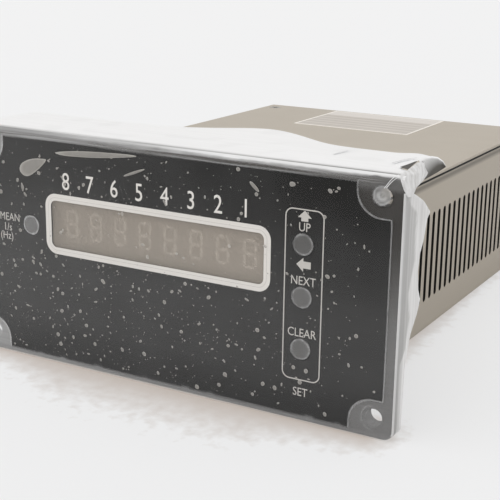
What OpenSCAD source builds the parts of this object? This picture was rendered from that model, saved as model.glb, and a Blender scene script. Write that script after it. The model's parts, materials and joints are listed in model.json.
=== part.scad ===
// Panel-mounted revolution counter: bezel with display and push buttons on a vented sheet-metal case.
// Origin: centre of the bezel's rear seating plane. +X is the viewer's right, +Y goes back, +Z is up.

/* [Bezel] */
// How far the bezel reaches past the case at each side
bezel_lip = 18.2; // [14:0.1:30]
// Height of the bezel
bezel_h = 80; // [76:1:110]
// Thickness of the bezel
bezel_t = 5; // [4.6:0.1:8]
// Radius of the bezel's corners, seen from the front
bezel_corner_r = 3.5; // [1.5:0.5:6]
// Rounding of the bezel's front edge
bezel_edge_r = 0.8; // [0.3:0.1:1.2]
// Depth of the rear recess that locates the case
recess_d = 1; // [0.5:0.1:1.4]

/* [Panel holes] */
// Distance of the panel holes from the bezel's edges
panel_hole_inset = 6.5; // [5.5:0.1:7.5]
// Diameter of the panel holes
panel_hole_d = 5.5; // [3.5:0.1:6.5]

/* [Face sheet] */
// Thickness of the printed sheet
sheet_t = 0.5; // [0.2:0.1:1]
// Bezel left showing at each side of the sheet
sheet_margin_x = 3.5; // [2:0.1:6]
// Bezel left showing above and below the sheet
sheet_margin_z = 2.25; // [1.5:0.05:4]
// How far the corner notches reach past the panel holes across
notch_reach_x = 8; // [6:0.25:10]
// How far the corner notches reach past the panel holes up and down
notch_reach_z = 6.25; // [5:0.25:8]
// Radius inside the corner notches
notch_r = 8; // [4:0.5:8.5]

/* [Window] */
// Place of the window's centre across
window_x = -5; // [-7:0.5:-4]
// Place of the window's centre up
window_z = 9.75; // [8:0.25:10]
// Width of the window
window_w = 81.6; // [80:0.2:83]
// Height of the window
window_h = 16.6; // [15:0.2:18]
// Radius of the window's corners
window_r = 2; // [1:0.5:4]
// Thickness of the window filter
filter_t = 2; // [1:0.5:2.5]
// How far the filter reaches behind the sheet on each side
filter_lap = 1; // [0.6:0.2:1.6]

/* [Buttons] */
// Diameter of the button tops
button_d = 6.8; // [5:0.2:8]
// Rounding of a button's front edge
button_edge_r = 0.6; // [0.2:0.1:1]
// Distance of the button column from the window
column_gap = 13.2; // [11:0.2:16]
// Spacing of the buttons in the column
button_pitch = 16.4; // [14:0.2:17]
// Distance of the single button from the window
single_gap = 8.7; // [7.5:0.1:11]
// How far the single button lies below the window's middle
single_drop = 1.75; // [0:0.25:4]
// How far a button travels
button_travel = 1; // [0.3:0.1:1.2]
// Width of the collar that keeps a button in
button_collar_w = 1.1; // [0.8:0.1:1.4]
// Thickness of the collar
button_collar_t = 1.2; // [0.8:0.1:1.4]
// Depth of the wells for the collars in the bezel's back
button_well_d = 1.5; // [1:0.1:2]

/* [Digits] */
// Window left showing at each side of the row of digits
window_side = 1.6; // [1:0.1:4]
// Gap between neighbouring digits
digit_gap = 0.2; // [0.1:0.1:1]
// Height of a digit's housing
digit_h = 13; // [12:0.5:15]
// Depth of a digit's housing
digit_depth = 7; // [6:0.5:9]
// Height of the lit figure
figure_h = 9.6; // [8:0.2:10]
// Width of the lit figure
figure_w = 5; // [4:0.2:6]
// Width of a segment
segment_w = 1; // [0.6:0.1:1.2]

/* [Front board] */
// Thickness of both circuit boards
board_t = 1.6; // [1:0.2:2]
// Gap between the front board and the case's sides
front_board_gap_x = 2.55; // [1:0.05:4]
// Gap between the front board and the case's floor and flanges
front_board_gap_z = 1.8; // [1:0.1:3]
// Side of a switch body
switch_w = 6; // [5.5:0.1:6.5]
// Height of a switch body
switch_h = 3.5; // [3:0.1:4]
// Diameter of a switch plunger
plunger_d = 3.5; // [2.5:0.1:4]

/* [Case] */
// Least distance of the single button from the case's side
single_side = 7.3; // [7:0.1:14]
// Least distance of the button column from the case's side
column_side = 12.8; // [11:0.1:20]
// Height of the case
case_h = 56.5; // [54:0.5:60]
// How far the case's middle lies above the bezel's
case_rise = -1.8; // [-3:0.1:1]
// Depth of the case behind the seating plane
case_d = 179.2; // [170:0.1:220]
// Thickness of the case's sheet
case_t = 1.2; // [1:0.1:1.5]
// Outer radius of the case's bends
bend_r = 2; // [1.6:0.1:3]
// Width of the flanges that carry the cover
flange_w = 10; // [9:0.5:14]
// Thickness of the cover
cover_t = 1; // [0.8:0.1:1.5]
// Width of the screw tabs bent in at the case's ends
tab_w = 7; // [6.5:0.1:7.4]
// Height of the screw tabs
tab_h = 8; // [7:0.5:9]

/* [Vents] */
// Number of vent slots in each side
slot_n = 23; // [5:2:27]
// Spacing of the slots
slot_pitch = 5.15; // [4:0.05:6]
// Width of a slot
slot_w = 2.5; // [1.5:0.1:3]
// Height of a slot
slot_h = 31.4; // [15:0.1:34]
// Place of the slots' middle up
slot_z = -2.7; // [-4:0.1:1]

/* [Main board] */
// Width of the main board
main_board_w = 104; // [100:1:110]
// Height of the board's standoffs
standoff_h = 5; // [3:0.5:8]
// Width of the transformer's core
core_w = 41; // [35:1:44]
// Height of the transformer's core
core_h = 34; // [28:1:36]
// Stack of the transformer's core
core_stack = 16; // [12:1:20]
// Diameter of the filter capacitor
capacitor_d = 18; // [12:1:20]
// Height of the filter capacitor
capacitor_h = 30; // [20:1:34]

/* [Terminals] */
// Number of terminals
terminal_n = 8; // [4:1:9]
// Spacing of the terminals
terminal_pitch = 10; // [9:0.5:10]
// Height of the terminal block
terminal_h = 18; // [16:1:22]
// Depth of the block's base
terminal_base_d = 5; // [4:0.5:8]
// Depth of the barriers between terminals
terminal_barrier_d = 13; // [11:0.5:16]
// Thickness of a barrier
barrier_t = 1.4; // [1:0.1:2]
// Place of the terminal block's middle up
terminal_z = -5; // [-8:0.5:4]

/* [Screws] */
// Diameter of the case and board screws
screw_d = 3; // [2.5:0.1:3]
// Diameter of their heads
screw_head_d = 5.5; // [5:0.1:6]
// Height of their heads
screw_head_h = 1.9; // [1.5:0.1:2.2]
// Diameter of the terminal screws
terminal_screw_d = 3.5; // [3:0.1:4]
// Diameter of the terminal screws' heads
terminal_head_d = 6.5; // [5.5:0.1:7]
// Height of the terminal screws' heads
terminal_head_h = 2.4; // [2:0.1:3]

/* [Label and film] */
// Width of the cover's label
label_w = 52; // [30:1:70]
// Length of the cover's label
label_l = 42; // [20:1:60]
// Thickness of the label
label_t = 0.15; // [0.1:0.05:0.3]
// Place of the label's middle across
label_x = -2; // [-20:1:20]
// Distance of the label from the case's rear edge
label_rear = 2; // [1:0.5:40]
// Thickness of the transit film
film_t = 0.2; // [0.1:0.05:0.3]
// Width of the film's rim on the bezel's front
film_rim_w = 2; // [1:0.1:2.2]
// Shortest reach of the film's top flap behind the seating plane
flap_reach = 29; // [10:1:60]
// Extra reach where the flap is longest
flap_wave = 16; // [0:1:30]
// How far the flap's rear edge droops
flap_drop = 1; // [0.5:0.5:8]
// Longest reach of the film's side skirts behind the seating plane
skirt_reach = 15; // [4:1:30]

/* [Hidden] */
$fn = 48;

// Clearances
slip = 0.3;        // between moving or loosely fitted pieces, each side
hole_slip = 0.1;   // between a screw and its hole, each side
rest_gap = 0.1;    // between a sprung collar and its stop
cut = 1;           // how far a cutting tool reaches past a face

// Levels along Y, from the front of the sheet to the back of the front board
bezel_front_y = -bezel_t;
sheet_front_y = bezel_front_y - sheet_t;
recess_y = -recess_d;
recess_corner_r = 0.5;
well_y = recess_y - button_well_d;
button_front_y = sheet_front_y + rest_gap;
collar_y = well_y + rest_gap;
button_back_y = collar_y + button_collar_t;
digit_clear = 0.5;
display_stack_y = bezel_front_y + filter_t + digit_clear + digit_depth;
switch_stack_y = button_back_y + button_travel + slip + switch_h;
front_board_y = max(display_stack_y, switch_stack_y);
front_board_back_y = front_board_y + board_t;
digit_front_y = front_board_y - digit_depth;
switch_front_y = front_board_y - switch_h;
plunger_depth = 0.8;
plunger_back_y = switch_front_y + plunger_depth;

// Digits
digit_n = 8;
digit_pitch = (window_w - 2 * window_side) / digit_n;
digit_w = digit_pitch - digit_gap;
bar_depth = 0.3;
bar_gap = 0.15;

// Buttons as [x, z]: their places follow the window
button_column_x = window_x + window_w / 2 + column_gap;
single_button_x = window_x - window_w / 2 - single_gap;
single_button_z = window_z - single_drop;
button_collar_d = button_d + 2 * button_collar_w;
button_up_at = [button_column_x, button_pitch];
button_left_at = [button_column_x, 0];
button_clear_at = [button_column_x, -button_pitch];
button_mean_at = [single_button_x, single_button_z];
buttons_at = [button_up_at, button_left_at, button_clear_at, button_mean_at];
button_hole_d = button_d + 2 * slip;
button_well_dia = button_collar_d + 2 * slip;

// Widths: the buttons set the case's, and the case sets the bezel's
case_w = 2 * max(button_column_x + column_side, single_side - single_button_x);
bezel_w = case_w + 2 * bezel_lip;

// Face sheet
sheet_w = bezel_w - 2 * sheet_margin_x;
sheet_h = bezel_h - 2 * sheet_margin_z;
sheet_corner_r = 0.8;
notch_w = panel_hole_inset + notch_reach_x - sheet_margin_x;
notch_h = panel_hole_inset + notch_reach_z - sheet_margin_z;

// Window opening and filter
opening_w = window_w + 2 * filter_lap;
opening_h = window_h + 2 * filter_lap;
opening_r = window_r + filter_lap;

// Panel holes
panel_holes_at = [
  for (sx = [-1, 1], sz = [-1, 1])
    [sx * (bezel_w / 2 - panel_hole_inset), sz * (bezel_h / 2 - panel_hole_inset)]
];
hole_chamfer = 0.5;

// Case levels
case_top = case_rise + case_h / 2;
case_bottom = case_rise - case_h / 2;
cover_z = case_top - cover_t;
flange_z = cover_z - case_t;
floor_z = case_bottom + case_t;
inner_w = case_w - 2 * case_t;

// Screws and the tabs that take them, as [x, z]
screw_hole_d = screw_d + 2 * hole_slip;
tab_x = inner_w / 2 - tab_w / 2;
tab_z = case_h / 2 - case_t - bend_r - tab_h / 2;
tabs_at = [for (sx = [-1, 1], sz = [-1, 1]) [sx * tab_x, case_rise + sz * tab_z]];
bezel_screw_grip = 2.2;
blind_clear = 0.3;

// Cover screws as [x, y]
cover_fix_inset_x = 5;
cover_fix_inset_y = 7.5;
cover_fix_front_y = 17.5;
cover_fixes_at = [
  for (sx = [-1, 1], y = [cover_fix_front_y, case_d - cover_fix_inset_y])
    [sx * (case_w / 2 - cover_fix_inset_x), y]
];
screw_past = 2;    // how far a screw's tip stands past the sheet it holds

// Front board: its fixing points lie beside the window
front_fix_clear = 3.2;
front_fix_rise = 9;
front_fix_low_z = -15;
front_fix_dx = opening_w / 2 + front_fix_clear;
front_fix_high_z = window_z + front_fix_rise;
front_fixes_at = [
  for (sx = [-1, 1], z = [front_fix_low_z, front_fix_high_z]) [window_x + sx * front_fix_dx, z]
];
spacer_d = 5;

// Main board
board_front_clear = 4;
board_rear_clear = 10;
main_board_z = floor_z + standoff_h;
main_board_top = main_board_z + board_t;
main_board_y = front_board_back_y + board_front_clear;
rear_panel_y = case_d - case_t;
main_board_rear_y = rear_panel_y - board_rear_clear;
main_board_l = main_board_rear_y - main_board_y;
board_fix_inset = 6;
board_fixes_at = [
  for (sx = [-1, 1], y = [main_board_y + board_fix_inset, main_board_rear_y - board_fix_inset])
    [sx * (main_board_w / 2 - board_fix_inset), y]
];
standoff_d = 6;
link_w = 40;
link_h = 6;
link_hold = 5;

// Terminals
terminal_w = terminal_n * terminal_pitch + barrier_t;
terminal_ear = 9;
terminal_ear_h = 12;
terminal_ear_x = terminal_w / 2 + terminal_ear / 2;
terminal_face_y = case_d + terminal_base_d;
terminal_hole_d = terminal_screw_d + 2 * hole_slip;
terminal_floor = 1;
terminal_xs = [for (i = [0 : terminal_n - 1]) (i - (terminal_n - 1) / 2) * terminal_pitch];
terminal_channel = terminal_pitch - barrier_t;
plate_t = 1;
plate_h = 9;
tail_w = 1;
tail_drop = 4;
tail_inset = 4;
tail_slot_h = 5;
tail_z = terminal_z - tail_drop;
tail_y = main_board_rear_y - tail_inset;

// Supply parts, placed from the main board's rear edge
limb_w = core_w / 3;
core_window_w = core_w / 6;
core_window_h = core_h - 2 * core_window_w;
winding_gap = 0.3;
transformer_x = -26;
transformer_inset = 45;
transformer_y = main_board_rear_y - transformer_inset;
filter_capacitor_x = 16;
small_capacitor_x = 38;
small_capacitor_pitch = 14;
small_capacitor_d = 8;
small_capacitor_h = 12;
heat_sink_w = 20;
heat_sink_l = 13;
heat_sink_h = 26;
heat_sink_t = 2;
heat_sink_ahead = 20;
heat_sink_y = transformer_y - heat_sink_ahead;
regulator_size = [10, 4.5, 19];

// Chips, placed from the main board's front edge
chip_stand = 1;
chip_h = 3.5;
leg_pitch = 2.54;
leg_t = 0.6;
logic_chip_size = [13.5, 36];
driver_chip_size = [6.5, 19.5];
logic_chip_x = -20;
logic_chip_inset = 60;
driver_chip_xs = [5, 22];
driver_chip_inset = 40;
crystal_inset = 32;
logic_chip_y = main_board_y + logic_chip_inset;
driver_chip_y = main_board_y + driver_chip_inset;
crystal_y = main_board_y + crystal_inset;
crystal_w = 4.5;
crystal_l = 11;
crystal_h = 3.6;

// Film
film_gap = 0.1;
film_front_y = bezel_front_y - film_gap - film_t;
film_half_w = bezel_w / 2 + film_gap + film_t;
film_top_z = bezel_h / 2 + film_gap + film_t;
film_corner_r = bezel_corner_r + film_gap + film_t;
film_bottom_gap = 0.5;
film_bottom_z = film_bottom_gap - bezel_h / 2;
flap_half_w = bezel_w / 2 - bezel_corner_r;
flap_peak_x = 8;
flap_peak_w = 20;
flap_step = 8;
flap_run = flap_reach + flap_wave - film_front_y;
flap_bends = 8;
// Free edge of a skirt from the top down, as shares of the reach and of the half height
skirt_edge = [[0, 1], [1, 0.75], [0.6, 0.2], [0.7, 0], [0.2, -0.45], [0, -1]];

// Extrude a drawing of X and Z along Y, from y0 over a length
module along_y(y0, length) {
  translate([0, y0 + length, 0]) rotate([90, 0, 0]) linear_extrude(length) children();
}

// Round bar along Y, from y0 over a length
module bar_y(y0, length, dia) {
  translate([0, y0, 0]) rotate([-90, 0, 0]) cylinder(h = length, d = dia);
}

// Put a piece at [x, z]
module at_xz(p) {
  translate([p[0], 0, p[1]]) children();
}

// Rectangle with round corners, about its centre
module round_rect(w, h, r) {
  square([w - 2 * r, h], center = true);
  square([w, h - 2 * r], center = true);
  for (sx = [-1, 1], sz = [-1, 1]) translate([sx * (w / 2 - r), sz * (h / 2 - r)]) circle(r);
}

// Half section of a plate with a rounded upper edge
module edge_section(half, t, edge_r) {
  square([half, t - edge_r]);
  square([half - edge_r, t]);
  translate([half - edge_r, t - edge_r]) circle(edge_r);
}

// Plate with round corners and a rounded upper edge, lying on Z = 0
module edged_plate(w, h, t, corner_r, edge_r) {
  rotate([90, 0, 90]) linear_extrude(w - 2 * corner_r, center = true)
    for (side = [0, 1]) mirror([side, 0]) edge_section(h / 2, t, edge_r);
  rotate([90, 0, 0]) linear_extrude(h - 2 * corner_r, center = true)
    for (side = [0, 1]) mirror([side, 0]) edge_section(w / 2, t, edge_r);
  for (sx = [-1, 1], sy = [-1, 1])
    translate([sx * (w / 2 - corner_r), sy * (h / 2 - corner_r), 0])
      rotate_extrude() edge_section(corner_r, t, edge_r);
}

// Pan-head screw whose head sits on Z = 0 and whose shank goes down
module pan_screw(d, length, head_d, head_h) {
  rim_h = 0.6 * head_h;
  crown_d = 0.7 * head_d;
  cross_l = 0.6 * head_d;
  cross_w = head_d / 7;
  difference() {
    union() {
      cylinder(h = rim_h, d = head_d);
      translate([0, 0, rim_h]) cylinder(h = head_h - rim_h, d1 = head_d, d2 = crown_d);
      translate([0, 0, -length]) cylinder(h = length + rim_h / 2, d = d);
    }
    for (a = [0, 90])
      rotate([0, 0, a]) translate([0, 0, head_h]) cube([cross_l, cross_w, head_h], center = true);
  }
}

// Countersunk screw whose head is flush with Z = 0 and whose shank goes down
module flush_screw(d, length, head_h) {
  head_d = d + 2 * head_h;
  cross_l = 0.6 * head_d;
  cross_w = head_d / 7;
  difference() {
    union() {
      translate([0, 0, -head_h]) cylinder(h = head_h, d1 = d, d2 = head_d);
      translate([0, 0, -length]) cylinder(h = length - head_h / 2, d = d);
    }
    for (a = [0, 90]) rotate([0, 0, a]) cube([cross_l, cross_w, head_h], center = true);
  }
}

// Pan-head screw driven forward, its head on the plane y
module screw_forward(y, d, length, head_d, head_h) {
  translate([0, y, 0]) rotate([-90, 0, 0]) pan_screw(d, length, head_d, head_h);
}

// Notches in the corners of the face sheet
module sheet_notches() {
  for (side = [0, 1], end = [0, 1]) mirror([side, 0]) mirror([0, end])
    translate([sheet_w / 2 - notch_w + notch_r, sheet_h / 2 - notch_h + notch_r]) {
      circle(notch_r);
      translate([-notch_r, 0]) square([notch_w + cut, notch_h + cut]);
      translate([0, -notch_r]) square([notch_w + cut, notch_h + cut]);
    }
}

module bezel() color([0.36, 0.36, 0.36]) difference() {
  rotate([90, 0, 0]) edged_plate(bezel_w, bezel_h, bezel_t, bezel_corner_r, bezel_edge_r);
  along_y(recess_y, recess_d + cut)
    translate([0, case_rise]) round_rect(case_w + 2 * slip, case_h + 2 * slip, recess_corner_r);
  along_y(bezel_front_y - cut, bezel_t + 2 * cut)
    translate([window_x, window_z]) round_rect(opening_w + 2 * slip, opening_h + 2 * slip, opening_r + slip);
  for (p = buttons_at) at_xz(p) {
    bar_y(bezel_front_y - cut, bezel_t + 2 * cut, button_hole_d);
    bar_y(well_y, button_well_d + recess_d + cut, button_well_dia);
  }
  for (p = panel_holes_at) at_xz(p) {
    bar_y(bezel_front_y - cut, bezel_t + 2 * cut, panel_hole_d);
    translate([0, bezel_front_y, 0]) rotate([-90, 0, 0])
      cylinder(h = hole_chamfer, d1 = panel_hole_d + 2 * hole_chamfer, d2 = panel_hole_d);
  }
  for (p = concat(tabs_at, front_fixes_at)) at_xz(p)
    bar_y(recess_y - bezel_screw_grip - blind_clear, bezel_screw_grip + blind_clear + cut, screw_hole_d);
}

module face_sheet() color([0.13, 0.13, 0.13]) along_y(sheet_front_y, sheet_t) difference() {
  round_rect(sheet_w, sheet_h, sheet_corner_r);
  sheet_notches();
  translate([window_x, window_z]) round_rect(window_w, window_h, window_r);
  for (p = buttons_at) translate(p) circle(d = button_hole_d);
}

module window_filter() color([0.45, 0.40, 0.36, 0.6])
  along_y(bezel_front_y, filter_t)
    translate([window_x, window_z]) round_rect(opening_w, opening_h, opening_r);

// Push button: a round top, a guide and the collar that keeps it in
module push_button(p) color([0.42, 0.42, 0.42]) at_xz(p) {
  translate([0, button_back_y, 0]) rotate([90, 0, 0])
    rotate_extrude() edge_section(button_d / 2, button_back_y - button_front_y, button_edge_r);
  bar_y(collar_y, button_collar_t, button_collar_d);
}
module button_up() push_button(button_up_at);
module button_left() push_button(button_left_at);
module button_clear() push_button(button_clear_at);
module button_mean() push_button(button_mean_at);

module switch_plunger(p) color([0.15, 0.15, 0.15]) at_xz(p)
  bar_y(button_back_y, plunger_back_y - button_back_y, plunger_d);
module plunger_up() switch_plunger(button_up_at);
module plunger_left() switch_plunger(button_left_at);
module plunger_clear() switch_plunger(button_clear_at);
module plunger_mean() switch_plunger(button_mean_at);

// Switch body with the well that its plunger goes down
module switch_body(p) color([0.2, 0.2, 0.22]) at_xz(p) difference() {
  along_y(switch_front_y, switch_h) square(switch_w, center = true);
  bar_y(switch_front_y - cut, cut + plunger_depth + button_travel + slip, plunger_d + 2 * slip);
}
module switch_up() switch_body(button_up_at);
module switch_left() switch_body(button_left_at);
module switch_clear() switch_body(button_clear_at);
module switch_mean() switch_body(button_mean_at);

// One bar of a figure, pointed at both ends, lying along X
module segment(length) {
  half = length / 2;
  tip = segment_w / 2;
  polygon([
    [-half, 0], [-half + tip, tip], [half - tip, tip],
    [half, 0], [half - tip, -tip], [-half + tip, -tip]
  ]);
}

// The seven bars and the point of a figure
module figure_bars() {
  across = figure_w - segment_w;
  up = (figure_h - segment_w) / 2;
  for (i = [-1 : 1]) translate([0, i * up]) segment(across - bar_gap);
  for (sx = [-1, 1], sz = [-1, 1])
    translate([sx * across / 2, sz * up / 2]) rotate(90) segment(up - bar_gap);
  translate([across / 2 + 1.5 * segment_w, -up]) circle(d = segment_w);
}

// Digit housing with its bars sunk into the face
module digit(i) color([0.75, 0.72, 0.68]) {
  x = window_x + (i - (digit_n + 1) / 2) * digit_pitch;
  at_xz([x, window_z]) difference() {
    along_y(digit_front_y, digit_depth) square([digit_w, digit_h], center = true);
    along_y(digit_front_y - cut, cut + bar_depth) figure_bars();
  }
}
module digit_1() digit(1);
module digit_2() digit(2);
module digit_3() digit(3);
module digit_4() digit(4);
module digit_5() digit(5);
module digit_6() digit(6);
module digit_7() digit(7);
module digit_8() digit(8);

module front_board() color([0.1, 0.35, 0.2]) along_y(front_board_y, board_t) difference() {
  translate([-inner_w / 2 + front_board_gap_x, floor_z + front_board_gap_z])
    square([inner_w - 2 * front_board_gap_x, flange_z - floor_z - 2 * front_board_gap_z]);
  for (p = front_fixes_at) translate(p) circle(d = screw_hole_d);
}

module front_board_spacers() color([0.8, 0.78, 0.7]) for (p = front_fixes_at) at_xz(p)
  along_y(recess_y, front_board_y - recess_y) difference() {
    circle(d = spacer_d);
    circle(d = screw_hole_d);
  }

module front_board_screws() color([0.75, 0.75, 0.77]) for (p = front_fixes_at) at_xz(p)
  screw_forward(front_board_back_y, screw_d, front_board_back_y - recess_y + bezel_screw_grip,
    screw_head_d, screw_head_h);

// Cross-section of the case: a tube of sheet, open along the top between its two flanges
module chassis_section() {
  h = cover_z - case_bottom;
  translate([0, (cover_z + case_bottom) / 2]) difference() {
    round_rect(case_w, h, bend_r);
    round_rect(inner_w, h - 2 * case_t, bend_r - case_t);
    translate([0, h / 2]) square([case_w - 2 * flange_w, 4 * bend_r], center = true);
  }
}

// Upright vent slot with round ends, seen from the side
module vent_slot() {
  straight = slot_h - slot_w;
  square([slot_w, straight], center = true);
  for (s = [-1, 1]) translate([0, s * straight / 2]) circle(d = slot_w);
}

// Screw tabs bent in from the side walls, with their holes, at a level y
module screw_tabs(y) {
  along_y(y, case_t) for (p = tabs_at) translate(p) difference() {
    translate([sign(p[0]) * case_t / 2, 0]) square([tab_w + case_t, tab_h], center = true);
    circle(d = screw_hole_d);
  }
}

module chassis() color([0.66, 0.63, 0.58]) difference() {
  union() {
    along_y(recess_y, rear_panel_y - recess_y) chassis_section();
    screw_tabs(recess_y);
    screw_tabs(rear_panel_y - case_t);
  }
  for (i = [0 : slot_n - 1])
    translate([0, case_d / 2 + (i - (slot_n - 1) / 2) * slot_pitch, slot_z])
      rotate([90, 0, 90]) linear_extrude(case_w + 2 * cut, center = true) vent_slot();
  for (p = cover_fixes_at)
    translate([p[0], p[1], flange_z - cut]) cylinder(h = case_t + 2 * cut, d = screw_hole_d);
}

module top_cover() color([0.70, 0.67, 0.62]) difference() {
  translate([-case_w / 2, recess_y, cover_z]) cube([case_w, case_d - recess_y, cover_t]);
  for (p = cover_fixes_at)
    translate([p[0], p[1], cover_z]) cylinder(h = cover_t, d1 = screw_hole_d, d2 = screw_hole_d + 2 * cover_t);
}

module cover_screws() color([0.6, 0.58, 0.54]) for (p = cover_fixes_at)
  translate([p[0], p[1], case_top]) flush_screw(screw_d, cover_t + case_t + screw_past, cover_t);

module bezel_screws() color([0.75, 0.75, 0.77]) for (p = tabs_at) at_xz(p)
  screw_forward(recess_y + case_t, screw_d, case_t + bezel_screw_grip, screw_head_d, screw_head_h);

// Flat panel that closes the end of the case and hides the sheet's cut edges
module rear_panel() color([0.66, 0.63, 0.58]) along_y(rear_panel_y, case_t) difference() {
  translate([-case_w / 2, case_bottom]) square([case_w, cover_z - slip - case_bottom]);
  for (p = tabs_at) translate(p) circle(d = screw_hole_d);
  for (s = [-1, 1]) translate([s * terminal_ear_x, terminal_z]) circle(d = screw_hole_d);
  translate([0, tail_z]) square([terminal_n * terminal_pitch, tail_slot_h], center = true);
}

module rear_panel_screws() color([0.75, 0.75, 0.77]) for (p = tabs_at) at_xz(p)
  screw_forward(case_d, screw_d, 2 * case_t + screw_past, screw_head_d, screw_head_h);

module terminal_block() color([0.12, 0.12, 0.12]) difference() {
  union() {
    along_y(case_d, terminal_base_d) translate([0, terminal_z]) {
      square([terminal_w, terminal_h], center = true);
      square([terminal_w + 2 * terminal_ear, terminal_ear_h], center = true);
    }
    for (i = [0 : terminal_n]) at_xz([(i - terminal_n / 2) * terminal_pitch, terminal_z])
      along_y(case_d, terminal_barrier_d) square([barrier_t, terminal_h], center = true);
  }
  for (x = terminal_xs) at_xz([x, terminal_z])
    bar_y(case_d + terminal_floor, terminal_base_d, terminal_hole_d);
  for (s = [-1, 1]) at_xz([s * terminal_ear_x, terminal_z])
    bar_y(case_d - cut, terminal_base_d + 2 * cut, screw_hole_d);
}

module terminal_block_screws() color([0.75, 0.75, 0.77])
  for (s = [-1, 1]) at_xz([s * terminal_ear_x, terminal_z])
    screw_forward(terminal_face_y, screw_d, terminal_base_d + case_t + screw_past, screw_head_d, screw_head_h);

module terminal_plates() color([0.8, 0.7, 0.45]) for (x = terminal_xs) at_xz([x, terminal_z])
  along_y(terminal_face_y, plate_t) difference() {
    square([terminal_channel - 2 * slip, plate_h], center = true);
    circle(d = terminal_hole_d);
  }

module terminal_screws() color([0.78, 0.78, 0.8]) for (x = terminal_xs) at_xz([x, terminal_z])
  screw_forward(terminal_face_y + plate_t, terminal_screw_d,
    plate_t + terminal_base_d - terminal_floor - blind_clear, terminal_head_d, terminal_head_h);

// Tails that run from the terminals through the rear panel and down to the main board
module terminal_tails() color([0.8, 0.7, 0.45]) for (x = terminal_xs) translate([x - tail_w / 2, tail_y, 0]) {
  translate([0, 0, tail_z - tail_w / 2]) cube([tail_w, case_d - tail_y, tail_w]);
  translate([0, 0, main_board_top]) cube([tail_w, tail_w, tail_z + tail_w / 2 - main_board_top]);
}

module main_board() color([0.1, 0.35, 0.2]) difference() {
  translate([-main_board_w / 2, main_board_y, main_board_z]) cube([main_board_w, main_board_l, board_t]);
  for (p = board_fixes_at)
    translate([p[0], p[1], main_board_z - cut]) cylinder(h = board_t + 2 * cut, d = screw_hole_d);
}

module board_standoffs() color([0.8, 0.75, 0.5]) for (p = board_fixes_at) translate([p[0], p[1], floor_z])
  difference() {
    cylinder(h = standoff_h, d = standoff_d, $fn = 6);
    translate([0, 0, -cut]) cylinder(h = standoff_h + 2 * cut, d = screw_hole_d);
  }

module board_screws() color([0.75, 0.75, 0.77]) for (p = board_fixes_at)
  translate([p[0], p[1], main_board_top])
    pan_screw(screw_d, board_t + standoff_h - blind_clear, screw_head_d, screw_head_h);

// Right-angle header that joins the main board to the front board
module board_link() color([0.1, 0.1, 0.1])
  translate([-link_w / 2, front_board_back_y, main_board_top])
    cube([link_w, board_front_clear + link_hold, link_h]);

// Core seen from the front: an E and I stack with two windows
module transformer_core() color([0.35, 0.33, 0.32])
  along_y(transformer_y, core_stack) translate([transformer_x, main_board_top + core_h / 2]) difference() {
    square([core_w, core_h], center = true);
    for (s = [-1, 1])
      translate([s * (limb_w + core_window_w) / 2, 0]) square([core_window_w, core_window_h], center = true);
  }

// Coil wound round the core's middle limb
module transformer_winding() color([0.75, 0.55, 0.2]) {
  over = core_window_w - 2 * winding_gap;
  bore_w = limb_w + 2 * winding_gap;
  bore_l = core_stack + 2 * winding_gap;
  h = core_window_h - 2 * winding_gap;
  translate([transformer_x, transformer_y + core_stack / 2, main_board_top + core_h / 2])
    linear_extrude(h, center = true) difference() {
      round_rect(bore_w + 2 * over - 2 * winding_gap, bore_l + 2 * over, over / 2);
      square([bore_w, bore_l], center = true);
    }
}

// Upright can with a crimped neck near its foot
module can(d, h) {
  neck = d / 12;
  rotate_extrude() difference() {
    square([d / 2, h]);
    translate([d / 2, d / 5]) circle(neck);
  }
}

module filter_capacitor() color([0.15, 0.2, 0.35])
  translate([filter_capacitor_x, transformer_y + core_stack / 2, main_board_top]) can(capacitor_d, capacitor_h);

module small_capacitors() color([0.15, 0.2, 0.35]) for (i = [0 : 2])
  translate([small_capacitor_x, transformer_y - i * small_capacitor_pitch, main_board_top])
    can(small_capacitor_d, small_capacitor_h);

// Heat sink: an upright channel that carries the regulator inside
module heat_sink() color([0.2, 0.2, 0.2])
  translate([0, heat_sink_y, main_board_top]) linear_extrude(heat_sink_h) difference() {
    translate([-heat_sink_w / 2, 0]) square([heat_sink_w, heat_sink_l]);
    translate([-heat_sink_w / 2 + heat_sink_t, heat_sink_t])
      square([heat_sink_w - 2 * heat_sink_t, heat_sink_l]);
  }

module regulator() color([0.1, 0.1, 0.1])
  translate([-regulator_size[0] / 2, heat_sink_y + heat_sink_t, main_board_top]) cube(regulator_size);

// Chip with a row of legs down each long side, lying along Y; size is [width, length]
module leg_chip(size, legs) {
  leg_h = chip_stand + chip_h / 2;
  row = legs / 2;
  translate([-size[0] / 2, -size[1] / 2, chip_stand]) cube([size[0], size[1], chip_h]);
  for (s = [-1, 1], i = [0 : row - 1])
    translate([s * size[0] / 2, (i - (row - 1) / 2) * leg_pitch, leg_h / 2])
      cube([2 * leg_t, leg_t, leg_h], center = true);
}

module logic_chip() color([0.08, 0.08, 0.08])
  translate([logic_chip_x, logic_chip_y, main_board_top]) leg_chip(logic_chip_size, 28);

module driver_chips() color([0.08, 0.08, 0.08]) for (x = driver_chip_xs)
  translate([x, driver_chip_y, main_board_top]) leg_chip(driver_chip_size, 14);

// Quartz can with round ends
module crystal() color([0.8, 0.8, 0.82]) translate([logic_chip_x, crystal_y, main_board_top])
  linear_extrude(crystal_h) {
    square([crystal_l - crystal_w, crystal_w], center = true);
    for (s = [-1, 1]) translate([s * (crystal_l - crystal_w) / 2, 0]) circle(d = crystal_w);
  }

module top_label() color([0.86, 0.85, 0.83])
  translate([label_x - label_w / 2, case_d - label_rear - label_l, case_top]) cube([label_w, label_l, label_t]);

// How far the film's flap reaches back at a place across
function flap_edge(x) = flap_reach + flap_wave * exp(-pow((x - flap_peak_x) / flap_peak_w, 2));

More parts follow.
